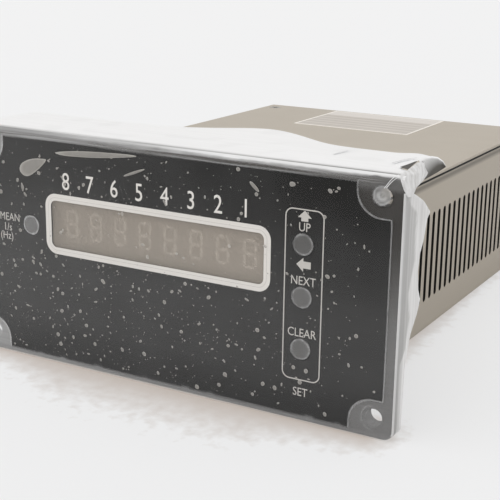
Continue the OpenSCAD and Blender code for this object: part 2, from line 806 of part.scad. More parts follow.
// Height of the flap's upper face at a place along Y: it leaves the face level and droops in a parabola
function flap_top(y) = film_top_z - flap_drop * pow((y - film_front_y) / flap_run, 2);

// Transit film where it stands clear of the face: a rim on the bezel, a flap over the top, side skirts
module protective_film() color([0.9, 0.92, 0.92, 0.4]) {
  film_rim();
  film_flap();
  for (side = [0, 1]) mirror([side, 0, 0]) film_skirt();
}

module film_rim() {
  inner_r = max(film_corner_r - film_rim_w, 0.2);
  along_y(film_front_y, film_t) difference() {
    round_rect(2 * film_half_w, 2 * film_top_z, film_corner_r);
    round_rect(2 * (film_half_w - film_rim_w), 2 * (film_top_z - film_rim_w), inner_r);
    translate([-bezel_w, -2 * bezel_h]) square([2 * bezel_w, 2 * bezel_h + film_bottom_z]);
  }
}

module film_flap() {
  edge_xs = [for (x = [-flap_half_w : flap_step : flap_half_w]) x];
  droop_ys = [for (i = [0 : flap_bends]) film_front_y + i * flap_run / flap_bends];
  intersection() {
    rotate([90, 0, 90]) linear_extrude(2 * flap_half_w, center = true)
      polygon(concat(
        [for (y = droop_ys) [y, flap_top(y)]],
        [for (i = [flap_bends : -1 : 0]) [droop_ys[i], flap_top(droop_ys[i]) - film_t]]
      ));
    linear_extrude(film_top_z + cut)
      polygon(concat(
        [[-flap_half_w, film_front_y]],
        [for (x = edge_xs) [x, flap_edge(x)]],
        [[flap_half_w, flap_edge(flap_half_w)], [flap_half_w, film_front_y]]
      ));
  }
}

module film_skirt() {
  half = bezel_h / 2 - bezel_corner_r;
  translate([film_half_w - film_t / 2, 0, 0]) rotate([90, 0, 90]) linear_extrude(film_t, center = true)
    polygon(concat(
      [[film_front_y, -half], [film_front_y, half]],
      [for (p = skirt_edge) [p[0] * skirt_reach, p[1] * half]]
    ));
}

bezel();
face_sheet();
window_filter();
button_up();
button_left();
button_clear();
button_mean();
plunger_up();
plunger_left();
plunger_clear();
plunger_mean();
switch_up();
switch_left();
switch_clear();
switch_mean();
digit_1();
digit_2();
digit_3();
digit_4();
digit_5();
digit_6();
digit_7();
digit_8();
front_board();
front_board_spacers();
front_board_screws();
chassis();
top_cover();
cover_screws();
bezel_screws();
rear_panel();
rear_panel_screws();
terminal_block();
terminal_block_screws();
terminal_plates();
terminal_screws();
terminal_tails();
main_board();
board_standoffs();
board_screws();
board_link();
transformer_core();
transformer_winding();
filter_capacitor();
small_capacitors();
regulator();
heat_sink();
logic_chip();
driver_chips();
crystal();
top_label();
protective_film();
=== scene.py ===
# A panel revolution counter with its transit film still on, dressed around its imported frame.

import json
import math
import random

import bmesh
import bpy
from mathutils import Matrix, Vector, noise


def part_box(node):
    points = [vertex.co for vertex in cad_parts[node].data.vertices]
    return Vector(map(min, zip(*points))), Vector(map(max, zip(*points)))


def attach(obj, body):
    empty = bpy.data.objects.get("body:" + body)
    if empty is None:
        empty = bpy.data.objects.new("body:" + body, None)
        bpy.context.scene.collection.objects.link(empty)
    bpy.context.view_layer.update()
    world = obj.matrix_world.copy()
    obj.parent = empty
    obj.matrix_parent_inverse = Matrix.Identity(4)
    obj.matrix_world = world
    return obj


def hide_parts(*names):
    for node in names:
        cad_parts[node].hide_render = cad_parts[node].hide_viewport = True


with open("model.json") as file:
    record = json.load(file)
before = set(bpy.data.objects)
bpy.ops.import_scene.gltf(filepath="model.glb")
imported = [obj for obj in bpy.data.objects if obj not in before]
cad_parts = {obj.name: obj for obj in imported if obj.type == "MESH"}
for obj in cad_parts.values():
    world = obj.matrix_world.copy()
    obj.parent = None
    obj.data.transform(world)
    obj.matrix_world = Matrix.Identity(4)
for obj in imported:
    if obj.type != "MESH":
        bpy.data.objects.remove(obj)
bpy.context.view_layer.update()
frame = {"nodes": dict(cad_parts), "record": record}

MM = 0.001
BODY = "counter"


# Places read from the frame, in millimetres

def box_mm(node):
    low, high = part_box(node)
    return low / MM, high / MM


def middle_xz(node):
    low, high = box_mm(node)
    return (low.x + high.x) / 2, (low.z + high.z) / 2


bezel_low, bezel_high = box_mm("bezel")
sheet_low, sheet_high = box_mm("face_sheet")
case_low, case_high = box_mm("chassis")
rear_low, rear_high = box_mm("rear_panel")
label_low, label_high = box_mm("top_label")
button_low, button_high = box_mm("button_up")
hole_dims = frame["record"]["mounts"][0]["dims"]

HALF_W = bezel_high.x
HALF_H = bezel_high.z
BEZEL_FRONT = bezel_low.y
FACE = sheet_low.y
SHEET_HALF_W = sheet_high.x
SHEET_HALF_H = sheet_high.z
COVER_FOOT = box_mm("top_cover")[0].z
HOLE_X = hole_dims["spacing_x_mm"] / 2
HOLE_Z = hole_dims["spacing_y_mm"] / 2
HOLE_R = hole_dims["hole_r_mm"]
WINDOW_X, WINDOW_Z = middle_xz("window_filter")
BUTTONS = ["button_up", "button_left", "button_clear", "button_mean"]
BUTTON_PLACES = [middle_xz(name) for name in BUTTONS]
# The width of a button's collar, which stays behind the face
COLLAR_W = 1.1
BUTTON_R = (button_high.x - button_low.x) / 2 - COLLAR_W
# The prints round the column of buttons are slightly off its middle
PRINT_OFF = 0.3
PRINT_X = BUTTON_PLACES[0][0] + PRINT_OFF
DIGITS = [f"digit_{i}" for i in range(1, 9)]
DIGIT_FRONT = box_mm("digit_1")[0].y


# Colours, written as they look on screen

def linear(level):
    share = level / 255
    if share <= 0.04045:
        return share / 12.92
    return ((share + 0.055) / 1.055) ** 2.4


def tone(red, green, blue):
    return (linear(red), linear(green), linear(blue), 1.0)


WHITE = (1.0, 1.0, 1.0, 1.0)
MID_GREY = (0.5, 0.5, 0.5, 1.0)


# Node helpers

def feed(tree, socket, value):
    """Link another node's output to a socket, or set the socket to a plain value."""
    if isinstance(value, bpy.types.NodeSocket):
        tree.links.new(value, socket)
    else:
        socket.default_value = value


def add_node(tree, kind, inputs=None, **settings):
    node = tree.nodes.new(kind)
    for name, value in settings.items():
        setattr(node, name, value)
    for name, value in (inputs or {}).items():
        feed(tree, node.inputs[name], value)
    return node


def noise_texture(tree, vector, scale, detail=3.0, roughness=0.5):
    inputs = {"Vector": vector, "Scale": scale, "Detail": detail, "Roughness": roughness}
    return add_node(tree, "ShaderNodeTexNoise", inputs).outputs["Fac"]


def maths(tree, operation, first, second=0.0):
    return add_node(tree, "ShaderNodeMath", {0: first, 1: second}, operation=operation).outputs["Value"]


def times(tree, first, *others):
    for other in others:
        first = maths(tree, "MULTIPLY", first, other)
    return first


def spread(tree, value, low, high, to_low, to_high):
    inputs = {"Value": value, "From Min": low, "From Max": high, "To Min": to_low, "To Max": to_high}
    return add_node(tree, "ShaderNodeMapRange", inputs).outputs["Result"]


def blend(tree, factor, first, second, blend_type="MIX"):
    node = add_node(tree, "ShaderNodeMix", data_type="RGBA", blend_type=blend_type)
    for name, value in (("Factor_Float", factor), ("A_Color", first), ("B_Color", second)):
        feed(tree, next(s for s in node.inputs if s.identifier == name), value)
    return next(s for s in node.outputs if s.identifier == "Result_Color")


def object_place(tree):
    return add_node(tree, "ShaderNodeTexCoord").outputs["Object"]


def axes(tree, vector):
    return add_node(tree, "ShaderNodeSeparateXYZ", {"Vector": vector}).outputs


def within(tree, value, low_mm, high_mm):
    """1 where a place lies between two limits, else 0."""
    above = maths(tree, "GREATER_THAN", value, low_mm * MM)
    return times(tree, above, maths(tree, "LESS_THAN", value, high_mm * MM))


def stripes(tree, direction, scale, distortion):
    """Soft stripes that follow each other along one axis."""
    inputs = {"Vector": object_place(tree), "Scale": scale, "Distortion": distortion}
    wave = add_node(tree, "ShaderNodeTexWave", inputs, wave_type="BANDS", bands_direction=direction)
    return wave.outputs["Fac"]


def attribute(tree, name):
    return add_node(tree, "ShaderNodeAttribute", attribute_name=name).outputs["Fac"]


def new_group(name, inputs, outputs):
    tree = bpy.data.node_groups.new(name, "ShaderNodeTree")
    for label, kind, value in inputs:
        socket = tree.interface.new_socket(label, in_out="INPUT", socket_type=kind)
        socket.default_value = value
    for label, kind in outputs:
        tree.interface.new_socket(label, in_out="OUTPUT", socket_type=kind)
    return tree, add_node(tree, "NodeGroupInput").outputs, add_node(tree, "NodeGroupOutput").inputs


# Shared effects

def surface_grain_group():
    """Fine moulded or sprayed grain, with slow patches of shade and gloss."""
    tree, given, put = new_group(
        "surface_grain",
        [("Colour", "NodeSocketColor", MID_GREY), ("Grain Scale", "NodeSocketFloat", 1500.0),
         ("Patch Scale", "NodeSocketFloat", 40.0), ("Shade", "NodeSocketFloat", 0.06),
         ("Roughness", "NodeSocketFloat", 0.5), ("Gloss Change", "NodeSocketFloat", 0.08)],
        [("Colour", "NodeSocketColor"), ("Roughness", "NodeSocketFloat"), ("Height", "NodeSocketFloat")])
    place = object_place(tree)
    grain = noise_texture(tree, place, given["Grain Scale"], 2.0)
    patches = noise_texture(tree, place, given["Patch Scale"], 4.0, 0.6)
    swing = maths(tree, "SUBTRACT", patches, 0.5)
    speckle = times(tree, maths(tree, "SUBTRACT", grain, 0.5), 0.5)
    both = maths(tree, "ADD", swing, speckle)
    factor = maths(tree, "ADD", times(tree, both, given["Shade"]), 1.0)
    grey = add_node(tree, "ShaderNodeCombineColor")
    for socket in grey.inputs:
        tree.links.new(factor, socket)
    shaded = blend(tree, 1.0, given["Colour"], grey.outputs["Color"], "MULTIPLY")
    rough = maths(tree, "ADD", times(tree, swing, given["Gloss Change"]), given["Roughness"])
    tree.links.new(shaded, put["Colour"])
    tree.links.new(rough, put["Roughness"])
    tree.links.new(grain, put["Height"])
    return tree


def settled_dust_group():
    """Pale dust that lies in patches on faces that look up."""
    tree, given, put = new_group(
        "settled_dust",
        [("Colour", "NodeSocketColor", MID_GREY), ("Amount", "NodeSocketFloat", 0.15)],
        [("Colour", "NodeSocketColor")])
    facing = axes(tree, add_node(tree, "ShaderNodeNewGeometry").outputs["Normal"])
    upward = spread(tree, facing["Z"], 0.3, 0.9, 0.0, 1.0)
    patches = noise_texture(tree, object_place(tree), 60.0, 6.0, 0.65)
    mask = times(tree, upward, spread(tree, patches, 0.35, 0.75, 0.0, 1.0), given["Amount"])
    tree.links.new(blend(tree, mask, given["Colour"], tone(214, 208, 198)), put["Colour"])
    return tree


def pulled_streaks_group():
    """Long streaks in film that has been pulled tight along one direction."""
    tree, given, put = new_group(
        "pulled_streaks",
        [("Stretch", "NodeSocketVector", (60.0, 900.0, 900.0))],
        [("Streak", "NodeSocketFloat"), ("Height", "NodeSocketFloat")])
    inputs = {"Vector": object_place(tree), "Scale": given["Stretch"]}
    place = add_node(tree, "ShaderNodeMapping", inputs).outputs["Vector"]
    lines = noise_texture(tree, place, 1.0, 3.0, 0.6)
    tree.links.new(spread(tree, lines, 0.35, 0.65, 0.0, 1.0), put["Streak"])
    tree.links.new(lines, put["Height"])
    return tree


GRAIN = surface_grain_group()
DUST = settled_dust_group()
STREAKS = pulled_streaks_group()


def use_group(tree, group, **values):
    """Place a shared effect; an underscore stands for a space in the name of an input."""
    node = add_node(tree, "ShaderNodeGroup", node_tree=group)
    for label, value in values.items():
        feed(tree, node.inputs[label.replace("_", " ")], value)
    return node.outputs


# Finishes of the pieces, with the depths of their bumps in millimetres
GRAIN_DEPTH = 0.05
LAYER_DEPTH = 0.2
CREASE_DEPTH = 0.15
SOFT_SHINE = 0.25


def new_material(name):
    material = bpy.data.materials.new(name)
    material.use_nodes = True
    tree = material.node_tree
    return material, tree, tree.nodes["Principled BSDF"].inputs


def dress(tree, bsdf, colour, roughness, height=None, strength=0.0, depth=GRAIN_DEPTH):
    """Feed a shader its colour and roughness and, where a height is given, its bump."""
    tree.links.new(colour, bsdf["Base Color"])
    tree.links.new(roughness, bsdf["Roughness"])
    if height is not None:
        inputs = {"Height": height, "Strength": strength, "Distance": depth * MM}
        tree.links.new(add_node(tree, "ShaderNodeBump", inputs).outputs["Normal"], bsdf["Normal"])


def grained(name, colour, roughness, grain=1500.0, patch=40.0, shade=0.06, gloss=0.08, bump=0.15, dust=0.0,
            metal=0.0, shine=0.5, alpha=1.0):
    """A finish with grain, slow patches and, on faces that look up, some dust."""
    material, tree, bsdf = new_material(name)
    out = use_group(tree, GRAIN, Colour=colour, Grain_Scale=grain, Patch_Scale=patch, Shade=shade,
                    Roughness=roughness, Gloss_Change=gloss)
    shown = out["Colour"]
    if dust > 0:
        shown = use_group(tree, DUST, Colour=shown, Amount=dust)["Colour"]
    dress(tree, bsdf, shown, out["Roughness"], out["Height"] if bump > 0 else None, bump)
    bsdf["Metallic"].default_value = metal
    bsdf["Specular IOR Level"].default_value = shine
    bsdf["Alpha"].default_value = alpha
    return material


def print_ink(name, colour):
    return grained(name, colour, 0.45, grain=2400.0, patch=70.0, shade=0.08, bump=0.06)


# The paint's outer skin, inside which faces get painted shade, and the height of the case's bent edges
SKIN = 0.06
BENT_EDGE = 1.8
# The painted shadow in the seam along the cover's underside: how far it reaches down and up
SEAM_DOWN = 0.84
SEAM_UP = 0.2
# The soft painted shadow below the seam, under the cover's edge: where it sets in, where it fades out, and
# the walls that have it
SHADE_FROM = (0.85, 1.5)
SHADE_TO = (2.1, 3.5)
SHADED_WALL = 0.8


def sprayed_case():
    """Beige spray paint outside, with painted shade inside the case, in the seam under the cover and in a
    soft strip below it.
    """
    material, tree, bsdf = new_material("sprayed_beige")
    out = use_group(tree, GRAIN, Colour=tone(182, 174, 162), Grain_Scale=1300.0, Patch_Scale=14.0,
                    Shade=0.05, Roughness=0.5, Gloss_Change=0.12)
    painted = use_group(tree, DUST, Colour=out["Colour"], Amount=0.1)["Colour"]
    at = axes(tree, object_place(tree))
    wall = case_high.x - SKIN
    across = within(tree, at["X"], -wall, wall)
    along = within(tree, at["Y"], case_low.y - SKIN, rear_low.y + SKIN)
    up = within(tree, at["Z"], case_low.z + BENT_EDGE, COVER_FOOT - BENT_EDGE)
    seam = within(tree, at["Z"], COVER_FOOT - SEAM_DOWN, COVER_FOOT + SEAM_UP)
    # Painted shade: the inner faces, the slot walls and the seam under the cover turn near black
    dark = maths(tree, "MAXIMUM", times(tree, across, along, up), seam)
    begin, deep = [(COVER_FOOT - down) * MM for down in SHADE_FROM]
    ease, end = [(COVER_FOOT - down) * MM for down in SHADE_TO]
    middle = within(tree, at["X"], SHADED_WALL - case_high.x, case_high.x - SHADED_WALL)
    shade = times(tree, spread(tree, at["Z"], deep, begin, 1.0, 0.0),
                  spread(tree, at["Z"], end, ease, 0.0, 1.0), maths(tree, "SUBTRACT", 1.0, middle))
    # Painted shadow in a soft strip on the side walls below the cover's edge
    shaded = blend(tree, shade, painted, tone(124, 118, 109))
    shown = blend(tree, dark, shaded, tone(30, 29, 28))
    dress(tree, bsdf, shown, out["Roughness"], out["Height"], 0.12)
    return material


# The label's white border and the paler margin at its rear
BORDER = 0.9
REAR_MARGIN = 11.0


def label_sheet():
    """The bare label: paper with faint ruled rows, a paler margin at its rear and a white border."""
    material, tree, bsdf = new_material("label_paper")
    out = use_group(tree, GRAIN, Colour=tone(202, 196, 189), Grain_Scale=2000.0, Patch_Scale=90.0,
                    Shade=0.16, Roughness=0.45)
    at = axes(tree, object_place(tree))
    faint = spread(tree, stripes(tree, "Y", 55.0, 0.6), 0.55, 0.9, 0.0, 0.5)
    ruled = blend(tree, faint, out["Colour"], tone(168, 160, 152))
    bare = within(tree, at["Y"], label_high.y - REAR_MARGIN, label_high.y)
    paper = blend(tree, bare, ruled, tone(219, 214, 209))
    across = within(tree, at["X"], label_low.x + BORDER, label_high.x - BORDER)
    along = within(tree, at["Y"], label_low.y + BORDER, label_high.y - BORDER)
    shown = blend(tree, times(tree, across, along), tone(250, 246, 240), paper)
    dress(tree, bsdf, shown, out["Roughness"], out["Height"], 0.1)
    return material


def board_resist():
    """Green solder resist with copper tracks showing through as paler lines."""
    material, tree, bsdf = new_material("board_resist")
    inputs = {"Vector": object_place(tree), "Scale": 110.0, "Mortar Size": 0.06,
              "Color1": tone(38, 92, 58), "Color2": tone(32, 84, 54), "Mortar": tone(66, 128, 82)}
    tracks = add_node(tree, "ShaderNodeTexBrick", inputs, offset=0.37, squash=1.6).outputs
    out = use_group(tree, GRAIN, Colour=tracks["Color"], Roughness=0.35)
    dress(tree, bsdf, out["Colour"], out["Roughness"], tracks["Fac"], 0.3)
    return material


def layered(name, colour, dark, direction, scale, roughness, metal):
    """A finish built of fine layers, such as a core's sheets or a coil's wire."""
    material, tree, bsdf = new_material(name)
    lines = stripes(tree, direction, scale, 0.4)
    out = use_group(tree, GRAIN, Colour=blend(tree, lines, dark, colour), Roughness=roughness)
    dress(tree, bsdf, out["Colour"], out["Roughness"], lines, 0.5, LAYER_DEPTH)
    bsdf["Metallic"].default_value = metal
    return material


def film_finish():
    """Clear film: its milkiness with painted sheen, its shade, mostly painted shade, and its creases come
    from how it was laid, point by point.
    """
    material, tree, bsdf = new_material("transit_film")
    along = use_group(tree, STREAKS, Stretch=(30.0, 800.0, 1700.0))
    down = use_group(tree, STREAKS, Stretch=(900.0, 900.0, 14.0))
    pull = attribute(tree, "pull")
    crease = attribute(tree, "crease")
    mark = times(tree, blend(tree, pull, along["Streak"], down["Streak"]), crease)
    shown = blend(tree, attribute(tree, "shade"), tone(247, 248, 250), tone(46, 43, 37))
    shown = blend(tree, mark, shown, tone(112, 106, 101))
    rough = use_group(tree, GRAIN, Patch_Scale=120.0, Roughness=0.4, Gloss_Change=0.2)["Roughness"]
    heights = times(tree, blend(tree, pull, along["Height"], down["Height"]), crease)
    dress(tree, bsdf, shown, rough, heights, 0.6, CREASE_DEPTH)
    # The film's opacity: its milkiness together with painted sheen and highlights
    clear = times(tree, attribute(tree, "milk"), spread(tree, mark, 0.0, 1.0, 1.0, 0.6))
    tree.links.new(clear, bsdf["Alpha"])
    bsdf["Specular IOR Level"].default_value = SOFT_SHINE
    return material


def trapped_air():
    """Air caught under the film: a pale patch with a brighter rim, painted reflection of the air gap."""
    material, tree, bsdf = new_material("trapped_air")
    out = use_group(tree, GRAIN, Colour=tone(204, 201, 196), Grain_Scale=2500.0, Patch_Scale=300.0,
                    Shade=0.25, Roughness=0.4, Gloss_Change=0.2)
    dress(tree, bsdf, out["Colour"], out["Roughness"])
    tree.links.new(spread(tree, attribute(tree, "rim"), 0.3, 1.0, 0.5, 0.85), bsdf["Alpha"])
    bsdf["Specular IOR Level"].default_value = SOFT_SHINE
    return material


FINISHES = {
    "bezel_plastic": grained("moulded_grey", tone(57, 55, 53), 0.5, grain=2200.0, patch=22.0, shade=0.1,
                             bump=0.12, shine=0.3),
    "face_sheet": grained("black_print", tone(24, 24, 24), 0.45, grain=2600.0, patch=18.0, shade=0.12,
                          bump=0.02, shine=0.25),
    "window_filter": grained("smoky_window", tone(199, 189, 177), 0.35, grain=900.0, patch=25.0, shade=0.08,
                             gloss=0.1, bump=0.0, shine=SOFT_SHINE, alpha=0.42),
    "button_grey": grained("button_grey", tone(76, 75, 74), 0.55, grain=1800.0, patch=90.0, shade=0.12,
                           bump=0.05, shine=0.3),
    "black_plastic": grained("black_moulding", tone(38, 37, 36), 0.45, shade=0.15, dust=0.12),
    "digit_grey": grained("digit_housing", tone(104, 97, 90), 0.5, shade=0.08),
    "board_green": board_resist(),
    "spacer_nylon": grained("spacer_nylon", tone(216, 208, 190), 0.5),
    "screw_steel": grained("zinc_steel", tone(188, 186, 182), 0.35, grain=3000.0, shade=0.1, metal=1.0),
    "case_paint": sprayed_case(),
    "plate_brass": grained("tinned_brass", tone(206, 184, 128), 0.35, shade=0.12, metal=1.0),
    "core_iron": layered("core_sheets", tone(92, 88, 84), tone(52, 50, 48), "Y", 300.0, 0.5, 0.6),
    "winding_copper": layered("coil_tape", tone(206, 160, 70), tone(168, 122, 46), "Z", 220.0, 0.4, 0.0),
    "capacitor_sleeve": grained("capacitor_sleeve", tone(44, 56, 88), 0.3, shade=0.1),
    "heat_sink": grained("black_anodised", tone(48, 48, 50), 0.4, shade=0.12, metal=0.7),
    "label_paper": label_sheet(),
    "transit_film": film_finish(),
}
WHITE_PRINT = print_ink("white_print", tone(232, 229, 225))
FINE_PRINT = print_ink("fine_print", tone(203, 200, 196))
DIGIT_BAR = grained("digit_bar", tone(236, 230, 220), 0.4, shade=0.06)
AIR = trapped_air()

for part in frame["record"]["subparts"]:
    node_slots = frame["nodes"][part["node"]].data.materials
    node_slots.clear()
    node_slots.append(FINISHES[part["material_slot"]])


# Piece helpers

def put_object(name, data):
    made = bpy.data.objects.new(name, data)
    bpy.context.scene.collection.objects.link(made)
    return made


def to_mesh(name, bm, *materials):
    mesh = bpy.data.meshes.new(name)
    bm.to_mesh(mesh)
    bm.free()
    for material in materials:
        mesh.materials.append(material)
    return mesh


def finish_piece(name, bm, slot, *materials):
    """Turn a bmesh in millimetres into a piece that rides with the counter."""
    bmesh.ops.scale(bm, vec=(MM, MM, MM), verts=bm.verts)
    piece = put_object(name, to_mesh(name, bm, *materials))
    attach(piece, BODY)
    return piece


FACE_TURN = Matrix.Rotation(math.radians(90), 4, "X")


def face_place(x, z, level, turn=0.0):
    """How flat geometry drawn in X and Y is turned and stood upright at [x, z], at a level along Y."""
    return Matrix.Translation((x, level, z)) @ FACE_TURN @ Matrix.Rotation(turn, 4, "Z")


def stand_on_face(bm, verts, x, z, level, turn=0.0):
    bmesh.ops.transform(bm, matrix=face_place(x, z, level, turn), verts=verts)


def raise_faces(bm, faces, depth):
    """Give flat faces in X and Y a depth towards the viewer; returns the raised points."""
    grown = bmesh.ops.extrude_face_region(bm, geom=faces, use_keep_orig=True)
    raised = [v for v in grown["geom"] if isinstance(v, bmesh.types.BMVert)]
    bmesh.ops.translate(bm, vec=(0, 0, depth), verts=raised)
    return raised


def inset_ring(bm, face, width):
    """Draw a face in by a width; returns the faces of the ring that is left round it."""
    made = bmesh.ops.inset_region(bm, faces=[face], thickness=width, use_boundary=True,
                                  use_even_offset=True)
    return made["faces"]


CORNER_STEPS = 8


def rounded_plate(bm, width, height, radius):
    """A flat plate with round corners about the origin; returns its one face."""
    corners = bmesh.ops.create_grid(bm, x_segments=1, y_segments=1, size=0.5)["verts"]
    bmesh.ops.scale(bm, vec=(width, height, 1), verts=corners)
    bmesh.ops.bevel(bm, geom=corners, offset=radius, offset_type="OFFSET", segments=CORNER_STEPS,
                    profile=0.5, affect="VERTICES", material=-1)
    return max(bm.faces, key=lambda face: face.calc_area())


def smooth_all(bm):
    bmesh.ops.recalc_face_normals(bm, faces=bm.faces)
    for face in bm.faces:
        face.smooth = True


# Printed lines round the window and the buttons; bands are widths with their ink, from the outside in
INK = 0.03
FRAME_W = 86.3
FRAME_H = 20.8
FRAME_R = 4.3
FRAME_BANDS = [(1.25, 0), (0.14, 1), (0.95, 0)]
OUTLINE_W = 12.9
OUTLINE_H = 53.7
OUTLINE_R = 2.5
OUTLINE_BANDS = [(0.36, 0)]
OUTLINE_RISE = 0.35


def ring_print(name, plate, bands, x, z, *inks):
    """A printed ring with round corners; plate is its width, height and corner radius."""
    bm = bmesh.new()
    face = rounded_plate(bm, *plate)
    bm.normal_update()
    for width, ink in bands:
        for part_of_ring in inset_ring(bm, face, width):
            part_of_ring.material_index = ink
    bmesh.ops.delete(bm, geom=[face], context="FACES")
    raise_faces(bm, list(bm.faces), INK)
    bmesh.ops.recalc_face_normals(bm, faces=bm.faces)
    stand_on_face(bm, list(bm.verts), x, z, FACE)
    finish_piece(name, bm, "face_sheet", *inks)


def window_frame_print():
    ring_print("window_frame_print", (FRAME_W, FRAME_H, FRAME_R), FRAME_BANDS, WINDOW_X, WINDOW_Z,
               WHITE_PRINT, FINE_PRINT)


def button_outline_print():
    ring_print("button_outline_print", (OUTLINE_W, OUTLINE_H, OUTLINE_R), OUTLINE_BANDS, PRINT_X,
               OUTLINE_RISE, FINE_PRINT)


# Generic signs on the face: place numbers over the digits, arrows and plain words by the buttons
ARROW_STEM_SHARE = 0.5
CAPITAL_SHARE = 0.7
LETTER_STEPS = 3


def add_arrow(bm, x, z, turn, width, head, stem):
    """A solid arrow that points up when turn is 0, about the middle of its length."""
    half = (head + stem) / 2
    point = bmesh.ops.create_circle(bm, cap_ends=True, segments=3, radius=1.0)["verts"]
    bmesh.ops.scale(bm, vec=(width / math.sqrt(3), head / 1.5, 1), verts=point)
    bmesh.ops.translate(bm, vec=(0, half - head * 2 / 3, 0), verts=point)
    shaft = bmesh.ops.create_grid(bm, x_segments=1, y_segments=1, size=0.5)["verts"]
    bmesh.ops.scale(bm, vec=(width * ARROW_STEM_SHARE, stem, 1), verts=shaft)
    bmesh.ops.translate(bm, vec=(0, stem / 2 - half, 0), verts=shaft)
    raised = raise_faces(bm, [verts[0].link_faces[0] for verts in (point, shaft)], INK)
    stand_on_face(bm, point + shaft + raised, x, z, FACE, math.radians(turn))


def add_words(bm, words, height, x, z, squeeze=0.85, weight=0.0, align="CENTER"):
    """Words of a given capital height, standing on the line z."""
    curve = bpy.data.curves.new("words", "FONT")
    curve.body = words
    curve.size = height / CAPITAL_SHARE
    curve.align_x = align
    curve.extrude = INK / 2
    curve.offset = weight
    curve.resolution_u = LETTER_STEPS
    holder = put_object("words", curve)
    bpy.context.view_layer.update()
    made = bpy.data.meshes.new_from_object(holder.evaluated_get(bpy.context.evaluated_depsgraph_get()))
    made.transform(Matrix.Diagonal((squeeze, 1, 1, 1)))
    made.transform(face_place(x, z, FACE - INK / 2))
    bm.from_mesh(made)
    bpy.data.objects.remove(holder)
    bpy.data.curves.remove(curve)
    bpy.data.meshes.remove(made)


NUMBER_Z = 22.0
NUMBER_H = 5.8
NUMBER_SQUEEZE = 0.82
NUMBER_WEIGHT = 0.022
WORD_H = 2.7
# Each as height on the face, turn, width, head and stem
ARROWS = [(25.1, 0, 4.6, 2.2, 1.1), (10.2, 90, 4.3, 2.3, 2.5)]
BUTTON_WORDS = [("UP", 20.4), ("NEXT", 3.9), ("CLEAR", -12.5), ("SET", -31.6)]
# The words by the side button, each with its shift from their common end and its height
SIDE_WORDS = [("MEAN", 0.0, 8.3), ("1/s", -3.6, 4.7), ("(Hz)", -3.1, 1.6)]
SIDE_END_X = -59.6


def face_legends():
    bm = bmesh.new()
    for place, name in zip(range(len(DIGITS), 0, -1), DIGITS):
        add_words(bm, str(place), NUMBER_H, middle_xz(name)[0], NUMBER_Z, NUMBER_SQUEEZE, NUMBER_WEIGHT)
    numbers = len(bm.faces)
    for arrow in ARROWS:
        add_arrow(bm, PRINT_X, *arrow)
    for words, z in BUTTON_WORDS:
        add_words(bm, words, WORD_H, PRINT_X, z)
    for words, shift, z in SIDE_WORDS:
        add_words(bm, words, WORD_H, SIDE_END_X + shift, z, align="RIGHT")
    for face in list(bm.faces)[numbers:]:
        face.material_index = 1
    finish_piece("face_legends", bm, "face_sheet", WHITE_PRINT, FINE_PRINT)


# The pale bars of the digits, sunk in their housings
FIGURE_H = 9.6
FIGURE_W = 5.0
BAR_W = 1.0
BAR_GAP = 0.3
BAR_T = 0.2
BAR_SUNK = 0.05
BAR_LEVEL = DIGIT_FRONT + BAR_SUNK + BAR_T
SIDEWAYS = Matrix.Rotation(math.radians(90), 4, "Z")
NEAR_ZERO = 0.1


def add_bar(bm, x, z, length, turn):
    """One pointed bar of a figure; turn 90 stands it up."""
    made = bmesh.ops.create_circle(bm, cap_ends=True, segments=6, radius=1.0, matrix=SIDEWAYS)
    verts = made["verts"]
    for vert in verts:
        tip = abs(vert.co.y) < NEAR_ZERO
        reach = length / 2 if tip else (length - BAR_W) / 2
        rise = 0.0 if tip else BAR_W / 2
        vert.co = Vector((math.copysign(reach, vert.co.x), math.copysign(rise, vert.co.y), 0))
    raised = raise_faces(bm, list(verts[0].link_faces), BAR_T)
    stand_on_face(bm, verts + raised, x, z, BAR_LEVEL, math.radians(turn))


def digit_bars():
    bm = bmesh.new()
    across = FIGURE_W - BAR_W
    up = (FIGURE_H - BAR_W) / 2
    for name in DIGITS:
        x, z = middle_xz(name)
        for level in (-up, 0, up):
            add_bar(bm, x, z + level, across - BAR_GAP, 0)
        for side in (-1, 1):
            for level in (-up / 2, up / 2):
                add_bar(bm, x + side * across / 2, z + level, up - BAR_GAP, 90)
    bmesh.ops.recalc_face_normals(bm, faces=bm.faces)
    finish_piece("digit_bars", bm, "digit_grey", DIGIT_BAR)


# Transit film: one sheet that clings to the face, rolls over the bezel's top and hangs loose behind it

def smooth_step(low, high, value):
    share = min(max((value - low) / (high - low), 0.0), 1.0)
    return share * share * (3 - 2 * share)


def fade(change, place):
    """A change given as its amount and the two places between which it comes in."""
    amount, start, end = change
    return amount * smooth_step(start, end, place)


def hump(change, place):
    """A change given as its amount, its middle and its width."""
    amount, middle, width = change
    return amount * math.exp(-((place - middle) / width) ** 2)


def ripple(x, y, z, scale, seed):
    """Smooth noise from -1 to 1 whose waves are about scale millimetres long."""
    return noise.noise(Vector((x / scale + seed, y / scale, z / scale)))


# The printed sheet's corner notches
NOTCH_R = 8.0
NOTCH_REACH_X = 8.0
NOTCH_REACH_Z = 6.25
NOTCH_X = HOLE_X - NOTCH_REACH_X + NOTCH_R
NOTCH_Z = HOLE_Z - NOTCH_REACH_Z + NOTCH_R


def past_sheet(x, z):
    """How far a place on the face lies outside the printed sheet's outline, in millimetres."""
    into_notch = NOTCH_R - math.hypot(max(NOTCH_X - abs(x), 0), max(NOTCH_Z - abs(z), 0))
    return max(abs(x) - SHEET_HALF_W, abs(z) - SHEET_HALF_H, into_notch)


# The film catches more light towards the left: between these places across
LEFT_FROM = 70.0
LEFT_TO = -60.0
# Painted glare over the black sheet, given as the film's milkiness against its full white
FILM_WHITE = 0.65
GLARE_BELOW = (0.036, 38.0, -10.0)
GLARE_FOOT = (0.013, -20.0, -38.0)
GLARE_LEFT = 0.025
GLARE_UP = 0.01
